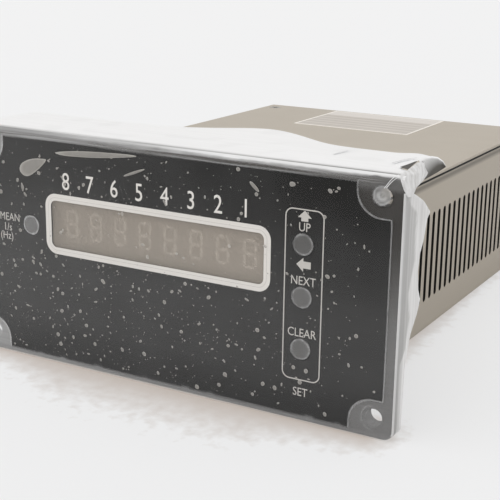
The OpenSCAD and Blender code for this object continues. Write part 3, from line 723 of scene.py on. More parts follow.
# How milky it is over the bare bezel, with painted sheen in it
MARGIN_MILK = 0.01
MARGIN_BELOW = (0.19, 26.0, -14.0)
MARGIN_LEFT = 0.2
MARGIN_FOOT = (1.0, -37.6, -38.6)
FOOT_MILK = 0.04
FOOT_LEFT = 0.1
MARGIN_RIGHT = (0.1, 40.0, 60.0)
MARGIN_TOP = (1.0, 34.5, 37.0)
MARGIN_UP = (0.14, 0.0, 30.0)


def leftness(x):
    """0 near the bezel's right end and 1 towards its left."""
    return min(max((LEFT_FROM - x) / (LEFT_FROM - LEFT_TO), 0.0), 1.0)


def veil(x, z):
    """Painted glare over the black sheet, as how milky the film is there."""
    glare = fade(GLARE_BELOW, z) - fade(GLARE_FOOT, z)
    glare += (GLARE_LEFT + GLARE_UP * z / HALF_H) * leftness(x)
    return glare / FILM_WHITE


def margin_milk(x, z):
    """How milky it is over the bare bezel, painted sheen included."""
    left = leftness(x)
    milk = MARGIN_MILK + fade(MARGIN_BELOW, z) + MARGIN_LEFT * left
    milk += (FOOT_MILK - FOOT_LEFT * left) * fade(MARGIN_FOOT, z)
    milk += fade(MARGIN_RIGHT, x) * fade(MARGIN_TOP, z)
    return milk + left ** 3 * fade(MARGIN_UP, z)


# The film over the panel holes: its soft edge, its milkiness and the painted light ring round a hole
HOLE_OUT = 0.4
HOLE_IN = 0.2
HOLE_MILK = 0.04
HOLE_RING = (0.1, HOLE_R + 1.1, 0.3)
HOLE_RING_SIDE = (1.0, HOLE_X + 1, HOLE_X - 1)
# Where it has sunk into the upper right hole, as seen from the hole's middle, and its rings of light
SUNK_X = -0.35
SUNK_Z = 0.6
SUNK_LESS = 0.15
SUNK_MILK = 0.8
SUNK_SHADE = 0.66
SUNK_LIGHT = 0.34
SUNK_UNEVEN = 0.1
SUNK_LIT_SIDE = (1.0, 2.5, -1.5)
RING_TURN = 4.0
RING_START = 0.9


def from_hole(x, z):
    return math.hypot(abs(x) - HOLE_X, abs(z) - HOLE_Z)


def from_sunk(x, z):
    return from_hole(x - SUNK_X, z - SUNK_Z) + SUNK_LESS


def over_hole(distance):
    """1 well inside a hole and 0 outside it, by the distance from its middle."""
    return smooth_step(HOLE_R + HOLE_OUT, HOLE_R - HOLE_IN, distance)


def hole_milk(x, z, milk):
    """The film over a panel hole: milky at the upper right, clear where one looks through, with a painted
    light ring at the lower right.
    """
    if x > 0 and z > 0:
        return milk + (SUNK_MILK - milk) * over_hole(from_sunk(x, z))
    distance = from_hole(x, z)
    ring = hump(HOLE_RING, distance) * fade(HOLE_RING_SIDE, x)
    return milk + HOLE_MILK * over_hole(distance) + ring * (x > 0)


def hole_shade(x, z):
    """Rings of light and shade where the film has sunk into the upper right hole."""
    if x < 0 or z < 0:
        return 0.0
    distance = from_sunk(x, z)
    lit = 0.5 + 0.5 * math.cos(distance * RING_TURN + RING_START)
    lit *= fade(SUNK_LIT_SIDE, x - HOLE_X + z - HOLE_Z)
    shade = SUNK_SHADE - SUNK_LIGHT * lit + SUNK_UNEVEN * ripple(x, 0, z, 1.5, 2.0)
    return over_hole(distance) * shade


# The film's gap to the face, and over what width it steps down to the bezel and turns milky there
FILM_CLEAR = 0.15
FILM_FRONT = BEZEL_FRONT - FILM_CLEAR
BRIDGE = 1.1
MILK_BRIDGE = 0.5
CLOUDS = 0.008
HOLE_SAG = 0.35
# The broken painted highlight along the sheet's lower edge
FOOT_LINE = (0.16, -SHEET_HALF_H, 0.5)
FOOT_LINE_ENDS = (1.0, 65.0, 63.0)
FOOT_LINE_BREAKS = (1.0, 0.1, 0.5)


def clinging(x, z):
    """Depth of the film where it clings to the face, and its milkiness with painted glare and sheen."""
    outside = past_sheet(x, z)
    low = FACE - FILM_CLEAR
    y = low + (FILM_FRONT - low) * smooth_step(0.0, BRIDGE, outside)
    y += HOLE_SAG * max(0.0, 1 - (from_hole(x, z) / HOLE_R) ** 2)
    milk = veil(x, z)
    milk += (margin_milk(x, z) - milk) * smooth_step(0.0, MILK_BRIDGE, outside)
    milk += CLOUDS * ripple(x, 0, z, 14.0, 3.0)
    line = hump(FOOT_LINE, z) * fade(FOOT_LINE_ENDS, abs(x))
    milk += line * fade(FOOT_LINE_BREAKS, ripple(x, 0, 0, 5.0, 40.0))
    return y, hole_milk(x, z, milk)


# How the film is divided into columns and rows: face, band under the top edge, roll, fold and flap
FILM_COLUMNS = 340
FACE_ROWS = 150
BAND_ROWS = 14
ROLL_ROWS = 10
FOLD_ROWS = 10
FLAP_ROWS = 24
FRONT_ROWS = FACE_ROWS + BAND_ROWS
FILM_ROWS = FRONT_ROWS + ROLL_ROWS + FOLD_ROWS + FLAP_ROWS
# The bezel's round corners and how the film rolls over its top and sides
CORNER_R = 3.5
ROLL_R = 1.1
TOP_LIFT = 0.3
SIDE_ROLL_R = 0.5
SIDE_LIFT = 0.2
FILM_HALF_W = HALF_W - SIDE_ROLL_R + SIDE_LIFT
FOOT_DROP = 0.1


def round_outline(place, half_along, half_out):
    """How far out the bezel's round-cornered outline lies at a place along one of its sides."""
    past = max(abs(place) - (half_along - CORNER_R), 0.0)
    return half_out - CORNER_R + math.sqrt(max(CORNER_R ** 2 - past ** 2, 0.0))


# The loose band under the top edge, milky with painted sheen, and a painted highlight line over the sheet's
# edge
BAND_FOOT = 37.2
BAND_MILK = 0.4
BAND_TOP = (1.0, 38.1, 38.8)
BAND_LEFT_MILK = 0.36
BAND_RIGHT = (1.0, -25.0, 30.0)
BAND_RIGHT_LESS = 0.17
BAND_LINE = (0.22, SHEET_HALF_H + 0.1, 0.28)
LOOSE_FOOT = SHEET_HALF_H - 0.5
LOOSE_RISE = (0.35, -38.0, 18.0)
LOOSE_SOFT = 0.4
LOOSE_ENDS = (1.0, 77.0, 71.0)
LOOSE_LIFT = 0.2
FACE_CREASE = 0.1
BAND_CREASE = 0.35
BAND_CREASE_RIGHT = (0.35, -50.0, 20.0)


def band_milk(x, z):
    """How milky the film is along the bezel's top margin, painted sheen and highlight line included."""
    right = fade(BAND_RIGHT, x)
    milk = BAND_LEFT_MILK - BAND_RIGHT_LESS * right + right * hump(BAND_LINE, z)
    return milk + (BAND_MILK - milk) * fade(BAND_TOP, z)


def on_front(x, row):
    top = round_outline(x, HALF_W, HALF_H)
    roll_start = top - ROLL_R
    if row <= FACE_ROWS:
        foot = -top - FOOT_DROP
        z = min(foot + (BAND_FOOT - foot) * row / FACE_ROWS, roll_start)
    else:
        share = (row - FACE_ROWS) / BAND_ROWS
        z = max(BAND_FOOT + (roll_start - BAND_FOOT) * share, min(BAND_FOOT, roll_start))
    y, milk = clinging(x, z)
    edge = LOOSE_FOOT + hump(LOOSE_RISE, x)
    loose = smooth_step(edge, edge + LOOSE_SOFT, z) * fade(LOOSE_ENDS, abs(x))
    milk += (band_milk(x, z) - milk) * loose
    y -= LOOSE_LIFT * loose * (0.5 + 0.5 * ripple(x, 0, z, 9.0, 4.0))
    crease = FACE_CREASE + (BAND_CREASE + fade(BAND_CREASE_RIGHT, x)) * loose
    return Vector((x, y, z)), milk, hole_shade(x, z), 0.0, crease


# The roll over the top edge: how milky it is, painted sheen included, and how soon it gets there
ROLL_MILK = 0.38
ROLL_WHITER = [(0.2, -60.0, -25.0), (0.42, -20.0, 30.0)]
ROLL_CLEARER = (0.2, 66.0, 71.0)
ROLL_LATER = (0.2, 64.0, 71.0)
ROLL_FULL = 0.48
ROLL_WRINKLE = 0.12
ROLL_CREASE = 0.4


def roll_milk(x):
    return ROLL_MILK + sum(fade(change, x) for change in ROLL_WHITER)


def on_roll(x, row):
    share = (row - FRONT_ROWS) / ROLL_ROWS
    turn = share * math.pi / 2
    roll_start = round_outline(x, HALF_W, HALF_H) - ROLL_R
    wrinkle = ROLL_WRINKLE * (1 + ripple(x, 0, share, 5.0, 6.0)) * math.sin(share * math.pi)
    y = FILM_FRONT + ROLL_R * (1 - math.cos(turn)) - wrinkle
    z = roll_start + (HALF_H + TOP_LIFT - roll_start) * math.sin(turn) + wrinkle
    start = BAND_MILK - fade(ROLL_CLEARER, x)
    uneven = 0.14 * ripple(x, 0, 0, 7.0, 51.0) + 0.06 * ripple(x, 0, 0, 2.2, 52.0)
    rise = smooth_step(fade(ROLL_LATER, x) + uneven, ROLL_FULL + uneven, share)
    milk = start + (roll_milk(x) - start) * rise
    return Vector((x, y, z)), milk, 0.0, 0.0, ROLL_CREASE * (1 - share)


# The flap: where it starts, how far its free edge lies back, how it hangs, and how soon it turns white,
# milky film with painted reflection
FLAP_START = FILM_FRONT + ROLL_R
FLAP_BASE = 28.0
FLAP_WAVE = (15.7, 11.5, 21.0)
FLAP_CORNER = (2.5, 73.0, 5.0)
FLAP_UNEVEN = 0.5
FLAP_DROP = 0.1
FLAP_LOOSE = (0.2, 0.0, 0.3)
FLAP_WHITE = (1.0, 0.0, 2.0)
FLAP_SMUDGE = (0.035, 0.1, 0.5)
FLAP_CREASE = 0.03
# The fold just behind the roll: its reach, its line of painted shadow and the softer painted shade behind
# it
FOLD_REACH = 3.2
FOLD_DARKER = [(0.5, -40.0, 0.0), (0.3, 10.0, 65.0)]
FOLD_LINE = (1.0, 0.95, 0.65)
FOLD_SHADE = (0.3, 2.1, 1.0)
# The flap's right side, at places back from the face, and where across it is still held
FLAP_SIDE = [(-6.0, 79.2), (3.1, 77.2), (5.4, 74.4), (18.0, 74.0), (26.0, 74.4), (60.0, 77.0)]
FLAP_HELD_X = 56.0


def between(points, place):
    """Straight lines through points given as (place, value)."""
    for (low, low_value), (high, high_value) in zip(points, points[1:]):
        if place <= high:
            return low_value + (high_value - low_value) * (place - low) / (high - low)
    return points[-1][1]


def flap_edge(x):
    """How far back the flap's free edge lies at a place across."""
    edge = FLAP_BASE + hump(FLAP_WAVE, x) + hump(FLAP_CORNER, x)
    return edge + FLAP_UNEVEN * ripple(x, 0, 0, 16.0, 21.0)


def on_flap(x, row):
    step = row - FRONT_ROWS - ROLL_ROWS
    reach = flap_edge(x) - FLAP_START
    back = FOLD_REACH * min(step / FOLD_ROWS, 1.0)
    back += (reach - FOLD_REACH) * max(step - FOLD_ROWS, 0) / FLAP_ROWS
    share = back / reach
    y = FLAP_START + back
    z = HALF_H + TOP_LIFT - FLAP_DROP * share ** 2
    z += fade(FLAP_LOOSE, share) * ripple(x, y, 0, 22.0, 9.0)
    milk = roll_milk(x) + (1 - roll_milk(x)) * fade(FLAP_WHITE, back)
    fold = sum(fade(change, x) for change in FOLD_DARKER) * hump(FOLD_LINE, back)
    fold += hump(FOLD_SHADE, back)
    if x > FLAP_HELD_X:
        share_out = (x - FLAP_HELD_X) / (FILM_HALF_W - FLAP_HELD_X)
        x = FLAP_HELD_X + share_out * (between(FLAP_SIDE, y) - FLAP_HELD_X)
    smudge = fade(FLAP_SMUDGE, ripple(x, y, 0, 9.0, 17.0))
    return Vector((x, y, z)), milk, smudge + fold, 0.0, FLAP_CREASE


def film_place(column, row):
    """Place, milkiness with painted sheen, shade, pull and crease of the film, from the face's foot to the
    flap's edge.
    """
    x = FILM_HALF_W * (2 * column / FILM_COLUMNS - 1)
    if row <= FRONT_ROWS:
        return on_front(x, row)
    if row <= FRONT_ROWS + ROLL_ROWS:
        return on_roll(x, row)
    return on_flap(x, row)


SKIRT_COLUMNS = 20
SKIRT_ROWS = 150
SKIRT_ROLL_SHARE = 0.25
# How far back a skirt's free edge lies, and how far back its grey part reaches, at heights on the face
SKIRT_EDGE = [(-38.0, 0.2), (-17.0, 0.8), (-12.2, 2.6), (-8.8, 4.2), (-3.6, 8.0), (0.7, 10.4), (3.8, 8.7),
              (9.9, 7.2), (15.4, 8.2), (18.5, 10.2), (24.8, 12.8), (26.5, 14.8), (31.2, 8.3), (34.7, 0.2),
              (35.6, 0.0)]
GREY_EDGE = [(-38.0, -2.8), (-16.0, -2.8), (-12.0, 0.5), (-3.0, 2.4), (5.0, 0.8), (14.0, 4.3), (22.0, 4.0),
             (28.5, 3.8), (30.2, 1.2), (31.5, -0.9), (33.0, -2.0), (36.0, -2.4)]
SKIRT_OUT = 0.2
EDGE_UNEVEN = 0.25
GREY_UNEVEN = 0.5
GREY_SOFT = 0.6
GREY_START = (1.0, FILM_FRONT + 0.3, FILM_FRONT + 0.7)
GREY_SHADE = 0.36
GREY_LINE = (0.08, FILM_FRONT + 1.2, 0.6)
SKIRT_SHADE = (0.1, 20.0, 28.0)
SKIRT_SHADE_END = (1.0, 1.0, 0.85)
SKIRT_MILK = 0.9
SKIRT_WHITE = (0.1, -2.0, 1.0)
SKIRT_CREASE = 0.16


def skirt_path(side, z, share):
    """The same for a skirt, from the face's side edge round to its free edge."""
    turn = min(share / SKIRT_ROLL_SHARE, 1.0) * math.pi / 2
    loose = max(share - SKIRT_ROLL_SHARE, 0.0) / (1 - SKIRT_ROLL_SHARE)
    x = round_outline(z, HALF_H, HALF_W) + SIDE_LIFT - SIDE_ROLL_R * (1 - math.sin(turn))
    y = FILM_FRONT + SIDE_ROLL_R * (1 - math.cos(turn))
    edge = between(SKIRT_EDGE, z) + EDGE_UNEVEN * ripple(0, 0, z, 3.0, 14.0)
    y += (edge - FILM_FRONT - SIDE_ROLL_R) * loose
    x += loose * SKIRT_OUT * (1 + ripple(0, y, z, 9.0, 12.0))
    grey_end = between(GREY_EDGE, z) + GREY_UNEVEN * ripple(0, 0, z, 6.0, 33.0)
    grey = fade(GREY_START, y) * smooth_step(grey_end + GREY_SOFT, grey_end - GREY_SOFT, y)
    shade = fade(SKIRT_SHADE, z) * fade(SKIRT_SHADE_END, share)
    shade += (GREY_SHADE + hump(GREY_LINE, y) - shade) * grey
    return Vector((side * x, y, z)), SKIRT_MILK + fade(SKIRT_WHITE, y), shade, 1.0, SKIRT_CREASE


def skirt_place(side):
    """Where the points of one side's skirt go, by column and row."""
    foot, top = SKIRT_EDGE[0][0], SKIRT_EDGE[-1][0]

    def place(column, row):
        return skirt_path(side, foot + (top - foot) * row / SKIRT_ROWS, column / SKIRT_COLUMNS)
    return place


def lay_film(bm, layers, columns, rows, place):
    """A grid of film, each point put where place says for its column and row."""
    made = bmesh.ops.create_grid(bm, x_segments=columns, y_segments=rows, size=1.0)
    for vert in made["verts"]:
        column = round((vert.co.x + 1) / 2 * columns)
        row = round((vert.co.y + 1) / 2 * rows)
        spot, *values = place(column, row)
        vert.co = spot
        for layer, value in zip(layers, values):
            vert[layer] = min(max(value, 0.0), 1.0)


def along_points(points, share):
    """A place along a line of points, share 0 to 1."""
    spot = share * (len(points) - 1)
    step = min(int(spot), len(points) - 2)
    return Vector(points[step]).lerp(Vector(points[step + 1]), spot - step)


def lay_between(bm, layers, first, second, grid, look, bulge=0.0):
    """A patch of film between two lines of points; look gives its values along and across it."""
    columns, rows = grid

    def place(column, row):
        u, v = column / columns, row / rows
        spot = along_points(first, u).lerp(along_points(second, u), v)
        spot.x += bulge * math.sin(v * math.pi) * min(0.2 + 2 * u, 1.0)
        return (spot, *look(u, v))
    lay_film(bm, layers, columns, rows, place)


# The painted highlight along the line where the film bridges from the printed sheet down to the bezel
LINE_W = 0.6
LINE_DROP = 0.1
LINE_LIFT = 0.06
LINE_LEVEL = FACE - FILM_CLEAR - LINE_LIFT
LINE_GRID = (120, 3)
LINE_ARC_STEP = 6
LINE_HIGHLIGHT = 0.28
LINE_LEFT = 0.12
LINE_UNEVEN = 0.14
LINE_LENGTH = 60


def bridge_line(side, end):
    """The edge of one corner notch and half of the sheet's side, seen from the front, as points."""
    arc = [math.radians(turn) for turn in range(180, 271, LINE_ARC_STEP)]
    points = [(NOTCH_X - NOTCH_R, SHEET_HALF_H)]
    points += [(NOTCH_X + NOTCH_R * math.cos(turn), NOTCH_Z + NOTCH_R * math.sin(turn)) for turn in arc]
    points += [(SHEET_HALF_W, NOTCH_Z - NOTCH_R), (SHEET_HALF_W, 0)]
    return [(side * x, LINE_LEVEL, end * z) for x, z in points]


def bridge_look(side, end):
    lit = LINE_HIGHLIGHT + LINE_LEFT * leftness(side * (NOTCH_X - NOTCH_R))

    def look(u, v):
        milk = lit + LINE_UNEVEN * ripple(u * LINE_LENGTH, side, end, 3.0, 7.0)
        return milk * math.sin(v * math.pi), 0.0, 0.0, 0.0
    return look


def bridge_lines(bm, layers):
    for side in (-1, 1):
        for end in (-1, 1):
            inner = bridge_line(side, end)
            outer = [(x + side * LINE_W, y + LINE_DROP, z + end * LINE_W) for x, y, z in inner]
            lay_between(bm, layers, inner, outer, LINE_GRID, bridge_look(side, end))


# The round patches where the film grips the buttons, milky with painted sheen and a painted highlight rim,
# with the widths of the rings they are made of
PATCH_SEGMENTS = 48
PATCH_RINGS = (0.45, 0.35, 0.8)
PATCH_MILK = 0.07
PATCH_LEFT = 0.1
PATCH_UP = (0.02, 0.0, 18.0)
PATCH_UNEVEN = 0.05
RIM_HIGHLIGHT = 0.19
RIM_LEFT = 0.15
RIM_START = (1.0, BUTTON_R - 0.85, BUTTON_R - 0.4)


def button_patch(bm, layers, x, z):
    """One round patch of film over a button, with an uneven painted highlight rim."""
    core = PATCH_MILK + PATCH_LEFT * leftness(x) - fade(PATCH_UP, z)
    rim = RIM_HIGHLIGHT + RIM_LEFT * leftness(x)
    made = bmesh.ops.create_circle(bm, cap_ends=True, segments=PATCH_SEGMENTS, radius=BUTTON_R)
    verts = set(made["verts"])
    middle = made["verts"][0].link_faces[0]
    bm.normal_update()
    for width in PATCH_RINGS:
        verts.update(vert for face in inset_ring(bm, middle, width) for vert in face.verts)
    for vert in verts:
        out = fade(RIM_START, math.hypot(vert.co.x, vert.co.y))
        blotch = ripple(vert.co.x, vert.co.y, x + z, 1.5, 5.0)
        vert[layers[0]] = core * (0.8 + 0.4 * blotch) + rim * out * (0.7 + 0.6 * blotch)
        vert.co *= 1 + PATCH_UNEVEN * out * ripple(vert.co.x, vert.co.y, x + z, 2.5, 8.0)
    stand_on_face(bm, list(verts), x, z, LINE_LEVEL)


# The torn corner at the upper right: a folded ear, a curled lobe behind it with painted shade inside, and a
# sheet of painted shade over the gap between them
EAR_LEFT = [(80.5, -4.2, 34.4), (79.8, -5.5, 36.5), (78.8, -5.6, 39.0), (78.4, -5.4, 40.9),
            (78.8, -1.0, 41.5), (79.7, 4.0, 42.9)]
EAR_RIGHT = [(80.6, -0.4, 34.2), (80.5, 2.0, 36.0), (80.5, 7.0, 37.2), (80.9, 8.6, 38.4),
             (81.1, 9.0, 39.2), (79.7, 7.0, 42.8)]
EAR_GRID = (20, 10)
EAR_BULGE = 1.4
LOBE_TOP = [(74.0, 19.8, 40.4), (73.9, 25.8, 40.4), (74.9, 28.0, 40.4), (77.0, 27.5, 40.4),
            (80.6, 22.4, 40.4), (82.4, 20.2, 39.3)]
LOBE_FOOT = [(80.9, 7.0, 37.5), (81.2, 9.7, 37.8), (81.5, 12.4, 38.1), (81.8, 15.2, 38.4),
             (82.1, 17.7, 38.8), (82.3, 19.9, 39.1)]
LOBE_GRID = (20, 16)
LOBE_RIM = (1.0, 0.05, 0.16)
GAP_NEAR = [(73.9, 5.2, 40.7), (77.2, 3.0, 40.7)]
GAP_FAR = [(74.5, 16.2, 40.7), (74.9, 16.2, 40.7)]
GAP_GRID = (4, 4)
# Creases in the flap as lines of painted shade, each with its width and depth of shade
CREASES = [([(69.2, 9.8, 40.7), (70.0, 14.7, 40.7), (70.9, 18.7, 40.7), (72.4, 21.2, 40.7)], 0.7, 0.5),
           ([(48.8, 13.0, 40.6), (49.2, 17.0, 40.6), (49.8, 21.5, 40.6)], 0.6, 0.35)]
CREASE_GRID = (8, 2)
# Painted highlights along pulled creases from the ear down to the upper right hole
PULLED = [[(78.5, -5.6, 41.1), (77.3, -5.6, 40.6), (76.2, -5.6, 39.8), (73.8, -5.6, 36.5)],
          [(78.6, -5.6, 40.2), (77.0, -5.6, 39.7), (75.6, -5.6, 38.2), (74.4, -5.6, 36.6)]]
PULLED_W = 0.26
PULLED_GRID = (4, 1)


def ear_look(u, v):
    return 1.0, 0.07 + 0.06 * ripple(u * 9, v * 4, 0, 1.0, 3.0), 1.0, 0.22


def lobe_look(u, v):
    """Bright along its rim, with painted shade inside that darkens towards its tip and its foot."""
    return 1.0, fade(LOBE_RIM, v) * min(0.2 + 1.5 * (0.45 * u + 0.55 * v) ** 1.2, 1.0), 0.0, 0.05


# Painted shade: the gap is closed by a sheet of the darkest film shade
def gap_look(u, v):
    return 1.0, 1.0, 0.0, 0.0


def pulled_look(u, v):
    return 0.9, 0.0, 0.0, 0.0


def crease_look(depth):
    def look(u, v):
        return 1.0, depth * math.sin(v * math.pi), 0.0, 0.0
    return look


def beside(points, width):
    return [(x + width, y, z) for x, y, z in points]


def torn_corner(bm, layers):
    lay_between(bm, layers, EAR_LEFT, EAR_RIGHT, EAR_GRID, ear_look, EAR_BULGE)
    lay_between(bm, layers, LOBE_TOP, LOBE_FOOT, LOBE_GRID, lobe_look)
    lay_between(bm, layers, GAP_NEAR, GAP_FAR, GAP_GRID, gap_look)
    for points, width, depth in CREASES:
        lay_between(bm, layers, points, beside(points, width), CREASE_GRID, crease_look(depth))
    for points in PULLED:
        lay_between(bm, layers, points, beside(points, PULLED_W), PULLED_GRID, pulled_look)


def transit_film():
    bm = bmesh.new()
    layers = [bm.verts.layers.float.new(name) for name in ("milk", "shade", "pull", "crease")]
    lay_film(bm, layers, FILM_COLUMNS, FILM_ROWS, film_place)
    for side in (-1, 1):
        lay_film(bm, layers, SKIRT_COLUMNS, SKIRT_ROWS, skirt_place(side))
    torn_corner(bm, layers)
    bridge_lines(bm, layers)
    for x, z in BUTTON_PLACES:
        button_patch(bm, layers, x, z)
    smooth_all(bm)
    film = finish_piece("film_sheet", bm, "transit_film", FINISHES["transit_film"])
    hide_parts("protective_film")


# Air trapped under the film: scattered specks, more of them to the left and below, and a few long blisters
SPECKS = 1250
SPECK_SEED = 11
SPECK_H = 0.1
SPECK_LEAST = 0.15
SPECK_MORE = 0.7
SPECK_FEW_LARGE = 5
SPECK_TO_LEFT = 0.68
SPECK_TO_FOOT = 0.9
SPECK_DOME = (2, 8)
SHEET_ROOM = 1
BUTTON_ROOM = 0.3
WINDOW_SKIPS = 0.75
AIR_LIFT = 0.13
# Each blister as x, z, half length, half width, turn, taper
BLISTERS = [(-52.6, 28.8, 6.2, 3.5, 26.0, 0.7), (-57.6, 20.8, 0.55, 2.0, 8.0, 0.6),
            (-56.6, 18.4, 0.45, 0.9, 40.0, 0.0), (-26.6, 35.2, 16.0, 1.2, 4.3, 0.4),
            (-11.4, 31.1, 4.3, 0.5, 21.0, 0.3), (32.3, 31.9, 2.1, 0.6, -41.0, 0.1),
            (45.1, 34.2, 1.0, 0.8, 0.0, 0.2)]
BLISTER_H = 0.2
BLISTER_DOME = (6, 40)
BLISTER_UNEVEN = 0.08


def air_dome(rings, segments):
    """A half ball of air as a mesh, with its edge marked for the brighter rim of painted reflection."""
    bm = bmesh.new()
    rim = bm.verts.layers.float.new("rim")
    bmesh.ops.create_uvsphere(bm, u_segments=segments, v_segments=2 * rings, radius=1.0)
    bmesh.ops.delete(bm, geom=[v for v in bm.verts if v.co.z < -0.01], context="VERTS")
    for vert in bm.verts:
        vert[rim] = 1 - vert.co.z
    return to_mesh("air_dome", bm)


def lay_air(bm, shaped, x, z, turn):
    """Lay a shaped dome of air flat against the face."""
    y, _ = clinging(x, z)
    shaped.transform(face_place(x, z, y - AIR_LIFT, turn))
    bm.from_mesh(shaped)
    bpy.data.meshes.remove(shaped)


def add_speck(bm, dome, x, z, half_l, half_w, turn):
    shaped = dome.copy()
    shaped.transform(Matrix.Diagonal((half_l, half_w, SPECK_H, 1)))
    lay_air(bm, shaped, x, z, turn)


def add_blister(bm, dome, x, z, half_l, half_w, turn, taper):
    """One long blister that narrows to its far end, with a slightly uneven edge."""
    shaped = dome.copy()
    for vert in shaped.vertices:
        wobble = 1 + BLISTER_UNEVEN * ripple(vert.co.x + x, vert.co.y + z, 0, 0.9, 4.0)
        narrow = 1 - taper * (vert.co.x + 1) / 2
        vert.co *= Vector((half_l * wobble, half_w * wobble * narrow, BLISTER_H))
    lay_air(bm, shaped, x, z, math.radians(turn))


def on_button(x, z):
    return min(math.hypot(x - bx, z - bz) for bx, bz in BUTTON_PLACES) < BUTTON_R + BUTTON_ROOM


def film_bubbles():
    bm = bmesh.new()
    bm.verts.layers.float.new("rim")
    draw = random.Random(SPECK_SEED)
    small = air_dome(*SPECK_DOME)
    large = air_dome(*BLISTER_DOME)
    half_x, half_z = SHEET_HALF_W - SHEET_ROOM, SHEET_HALF_H - SHEET_ROOM
    for _ in range(SPECKS):
        x = half_x - 2 * half_x * draw.random() ** SPECK_TO_LEFT
        z = half_z - 2 * half_z * draw.random() ** SPECK_TO_FOOT
        size = SPECK_LEAST + SPECK_MORE * draw.random() ** SPECK_FEW_LARGE
        shape = draw.uniform(0.4, 1.0)
        turn = draw.uniform(0, math.pi)
        in_notch = past_sheet(x, z) > -SHEET_ROOM
        in_window = abs(x - WINDOW_X) < FRAME_W / 2 and abs(z - WINDOW_Z) < FRAME_H / 2
        if in_notch or (in_window and draw.random() < WINDOW_SKIPS) or on_button(x, z):
            continue
        add_speck(bm, small, x, z, size, size * shape, turn)
    for blister in BLISTERS:
        add_blister(bm, large, *blister)
    bpy.data.meshes.remove(small)
    bpy.data.meshes.remove(large)
    smooth_all(bm)
    finish_piece("film_bubbles", bm, "transit_film", AIR)


window_frame_print()
button_outline_print()
face_legends()
digit_bars()
transit_film()
film_bubbles()


# Stage: a plain pale floor that touches the bezel's foot and the case's rear edge
FLOOR_SIZE = 6.0
FLOOR_GLOW = 0.64
FLOOR_SHADE = (0.57, 0.48, 0.41, 1.0)
# How far the painted shadow on the floor reaches from the bezel and from the case, and how deep the case's
# is
FOOT_REACH = 25.0
UNDER_CASE = 9.0
CASE_SHADE = 0.75
# The bezel's painted shadow gets shorter between these places across, towards its ends
ENDS_FROM = 35.0
ENDS_TO = 65.0
ENDS_SHORTER = 2.1


def from_foot(tree, aside, back, half_w, front, rear):
    """Distance on the floor from a rectangle the counter stands over."""
    across = maths(tree, "MAXIMUM", maths(tree, "SUBTRACT", aside, half_w * MM), 0.0)
    before = maths(tree, "SUBTRACT", front * MM, back)
    behind = maths(tree, "SUBTRACT", back, rear * MM)
    along = maths(tree, "MAXIMUM", maths(tree, "MAXIMUM", before, behind), 0.0)
    squares = maths(tree, "ADD", times(tree, across, across), times(tree, along, along))
    return maths(tree, "SQRT", squares)


def floor_white():
    """To the camera an even ground with a painted shadow by the counter's foot, and plain white for all
    other light.
    """
    material, tree, bsdf = new_material("floor_white")
    rays = add_node(tree, "ShaderNodeLightPath").outputs
    seen = maths(tree, "MAXIMUM", rays["Is Camera Ray"], rays["Is Transmission Ray"])
    ground = blend(tree, seen, tone(236, 236, 236), tone(133, 134, 136))
    tree.links.new(ground, bsdf["Base Color"])
    tree.links.new(times(tree, seen, FLOOR_GLOW), bsdf["Emission Strength"])
    at = axes(tree, object_place(tree))
    aside = maths(tree, "ABSOLUTE", at["X"])
    by_bezel = from_foot(tree, aside, at["Y"], HALF_W - UNDER_CASE, BEZEL_FRONT, 0.0)
    by_case = from_foot(tree, aside, at["Y"], case_high.x - UNDER_CASE, 0.0, rear_high.y)
    ends = spread(tree, aside, ENDS_FROM * MM, ENDS_TO * MM, 1.0, ENDS_SHORTER)
    uneven = spread(tree, noise_texture(tree, object_place(tree), 240.0, 5.0), 0.3, 0.7, 0.7, 1.3)
    shade_of_bezel = spread(tree, times(tree, by_bezel, ends, uneven), 0.0, FOOT_REACH * MM, 1.0, 0.0)
    shade_of_case = spread(tree, times(tree, by_case, uneven), 0.0, UNDER_CASE * MM, CASE_SHADE, 0.0)
    shade = maths(tree, "MAXIMUM", shade_of_bezel, shade_of_case)
    # Painted shadow: the glow the camera sees turns darker and warmer near the counter's foot
    tree.links.new(blend(tree, shade, WHITE, FLOOR_SHADE), bsdf["Emission Color"])
    bsdf["Roughness"].default_value = 0.9
    bsdf["Specular IOR Level"].default_value = 0.1
    return material


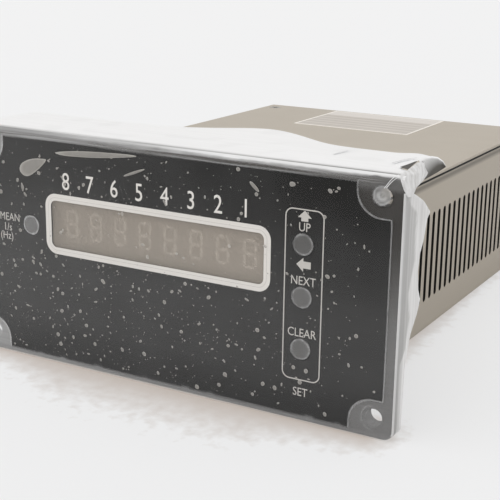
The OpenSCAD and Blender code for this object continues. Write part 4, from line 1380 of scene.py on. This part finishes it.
def floor():
    foot = Vector((0, 0, bezel_low.z)) * MM
    rear = Vector((0, rear_high.y, rear_low.z)) * MM
    tilt = math.atan2(rear.z - foot.z, rear.y - foot.y)
    lie = Matrix.Translation(foot) @ Matrix.Rotation(tilt, 4, "X")
    bm = bmesh.new()
    bmesh.ops.create_grid(bm, x_segments=1, y_segments=1, size=FLOOR_SIZE / 2)
    bmesh.ops.transform(bm, matrix=lie, verts=bm.verts)
    ground = put_object("floor", to_mesh("floor", bm, floor_white()))


SKY_TONE = tone(255, 253, 250)
SKY_STRENGTH = 0.72
KEY_ENERGY = 0.95
KEY_ANGLE = 70
KEY_DIRECTION = (0.45, 0.35, -1.0)


def studio_light():
    world = bpy.data.worlds.new("studio")
    bpy.context.scene.world = world
    world.use_nodes = True
    back = world.node_tree.nodes["Background"].inputs
    back["Color"].default_value = SKY_TONE
    back["Strength"].default_value = SKY_STRENGTH
    lamp = bpy.data.lights.new("key", "SUN")
    lamp.energy = KEY_ENERGY
    lamp.angle = math.radians(KEY_ANGLE)
    turn = Vector(KEY_DIRECTION).to_track_quat("-Z", "Y")
    put_object("key", lamp).rotation_euler = turn.to_euler()


CAMERA_PLACE = Vector((194.48, -294.46, 104.6))
CAMERA_AZIMUTH = 29.50
CAMERA_ELEVATION = 15.58
CAMERA_ROLL = 0.88
CAMERA_TURNS = [(CAMERA_AZIMUTH, "Z"), (90 - CAMERA_ELEVATION, "X"), (CAMERA_ROLL, "Z")]
CAMERA_LENS = 81.74
CAMERA_SIGHT = 20.0
SENSOR_W = 36.0


def photo_camera():
    lens = bpy.data.cameras.new("photo_camera")
    lens.lens = CAMERA_LENS
    lens.sensor_width = SENSOR_W
    lens.clip_end = CAMERA_SIGHT
    pose = Matrix.Translation(CAMERA_PLACE * MM)
    for angle, axis in CAMERA_TURNS:
        pose = pose @ Matrix.Rotation(math.radians(angle), 4, axis)
    camera = put_object("photo_camera", lens)
    camera.matrix_world = pose
    bpy.context.scene.camera = camera


floor()
studio_light()
photo_camera()
bpy.context.scene.view_settings.view_transform = "Standard"

bpy.context.view_layer.update()
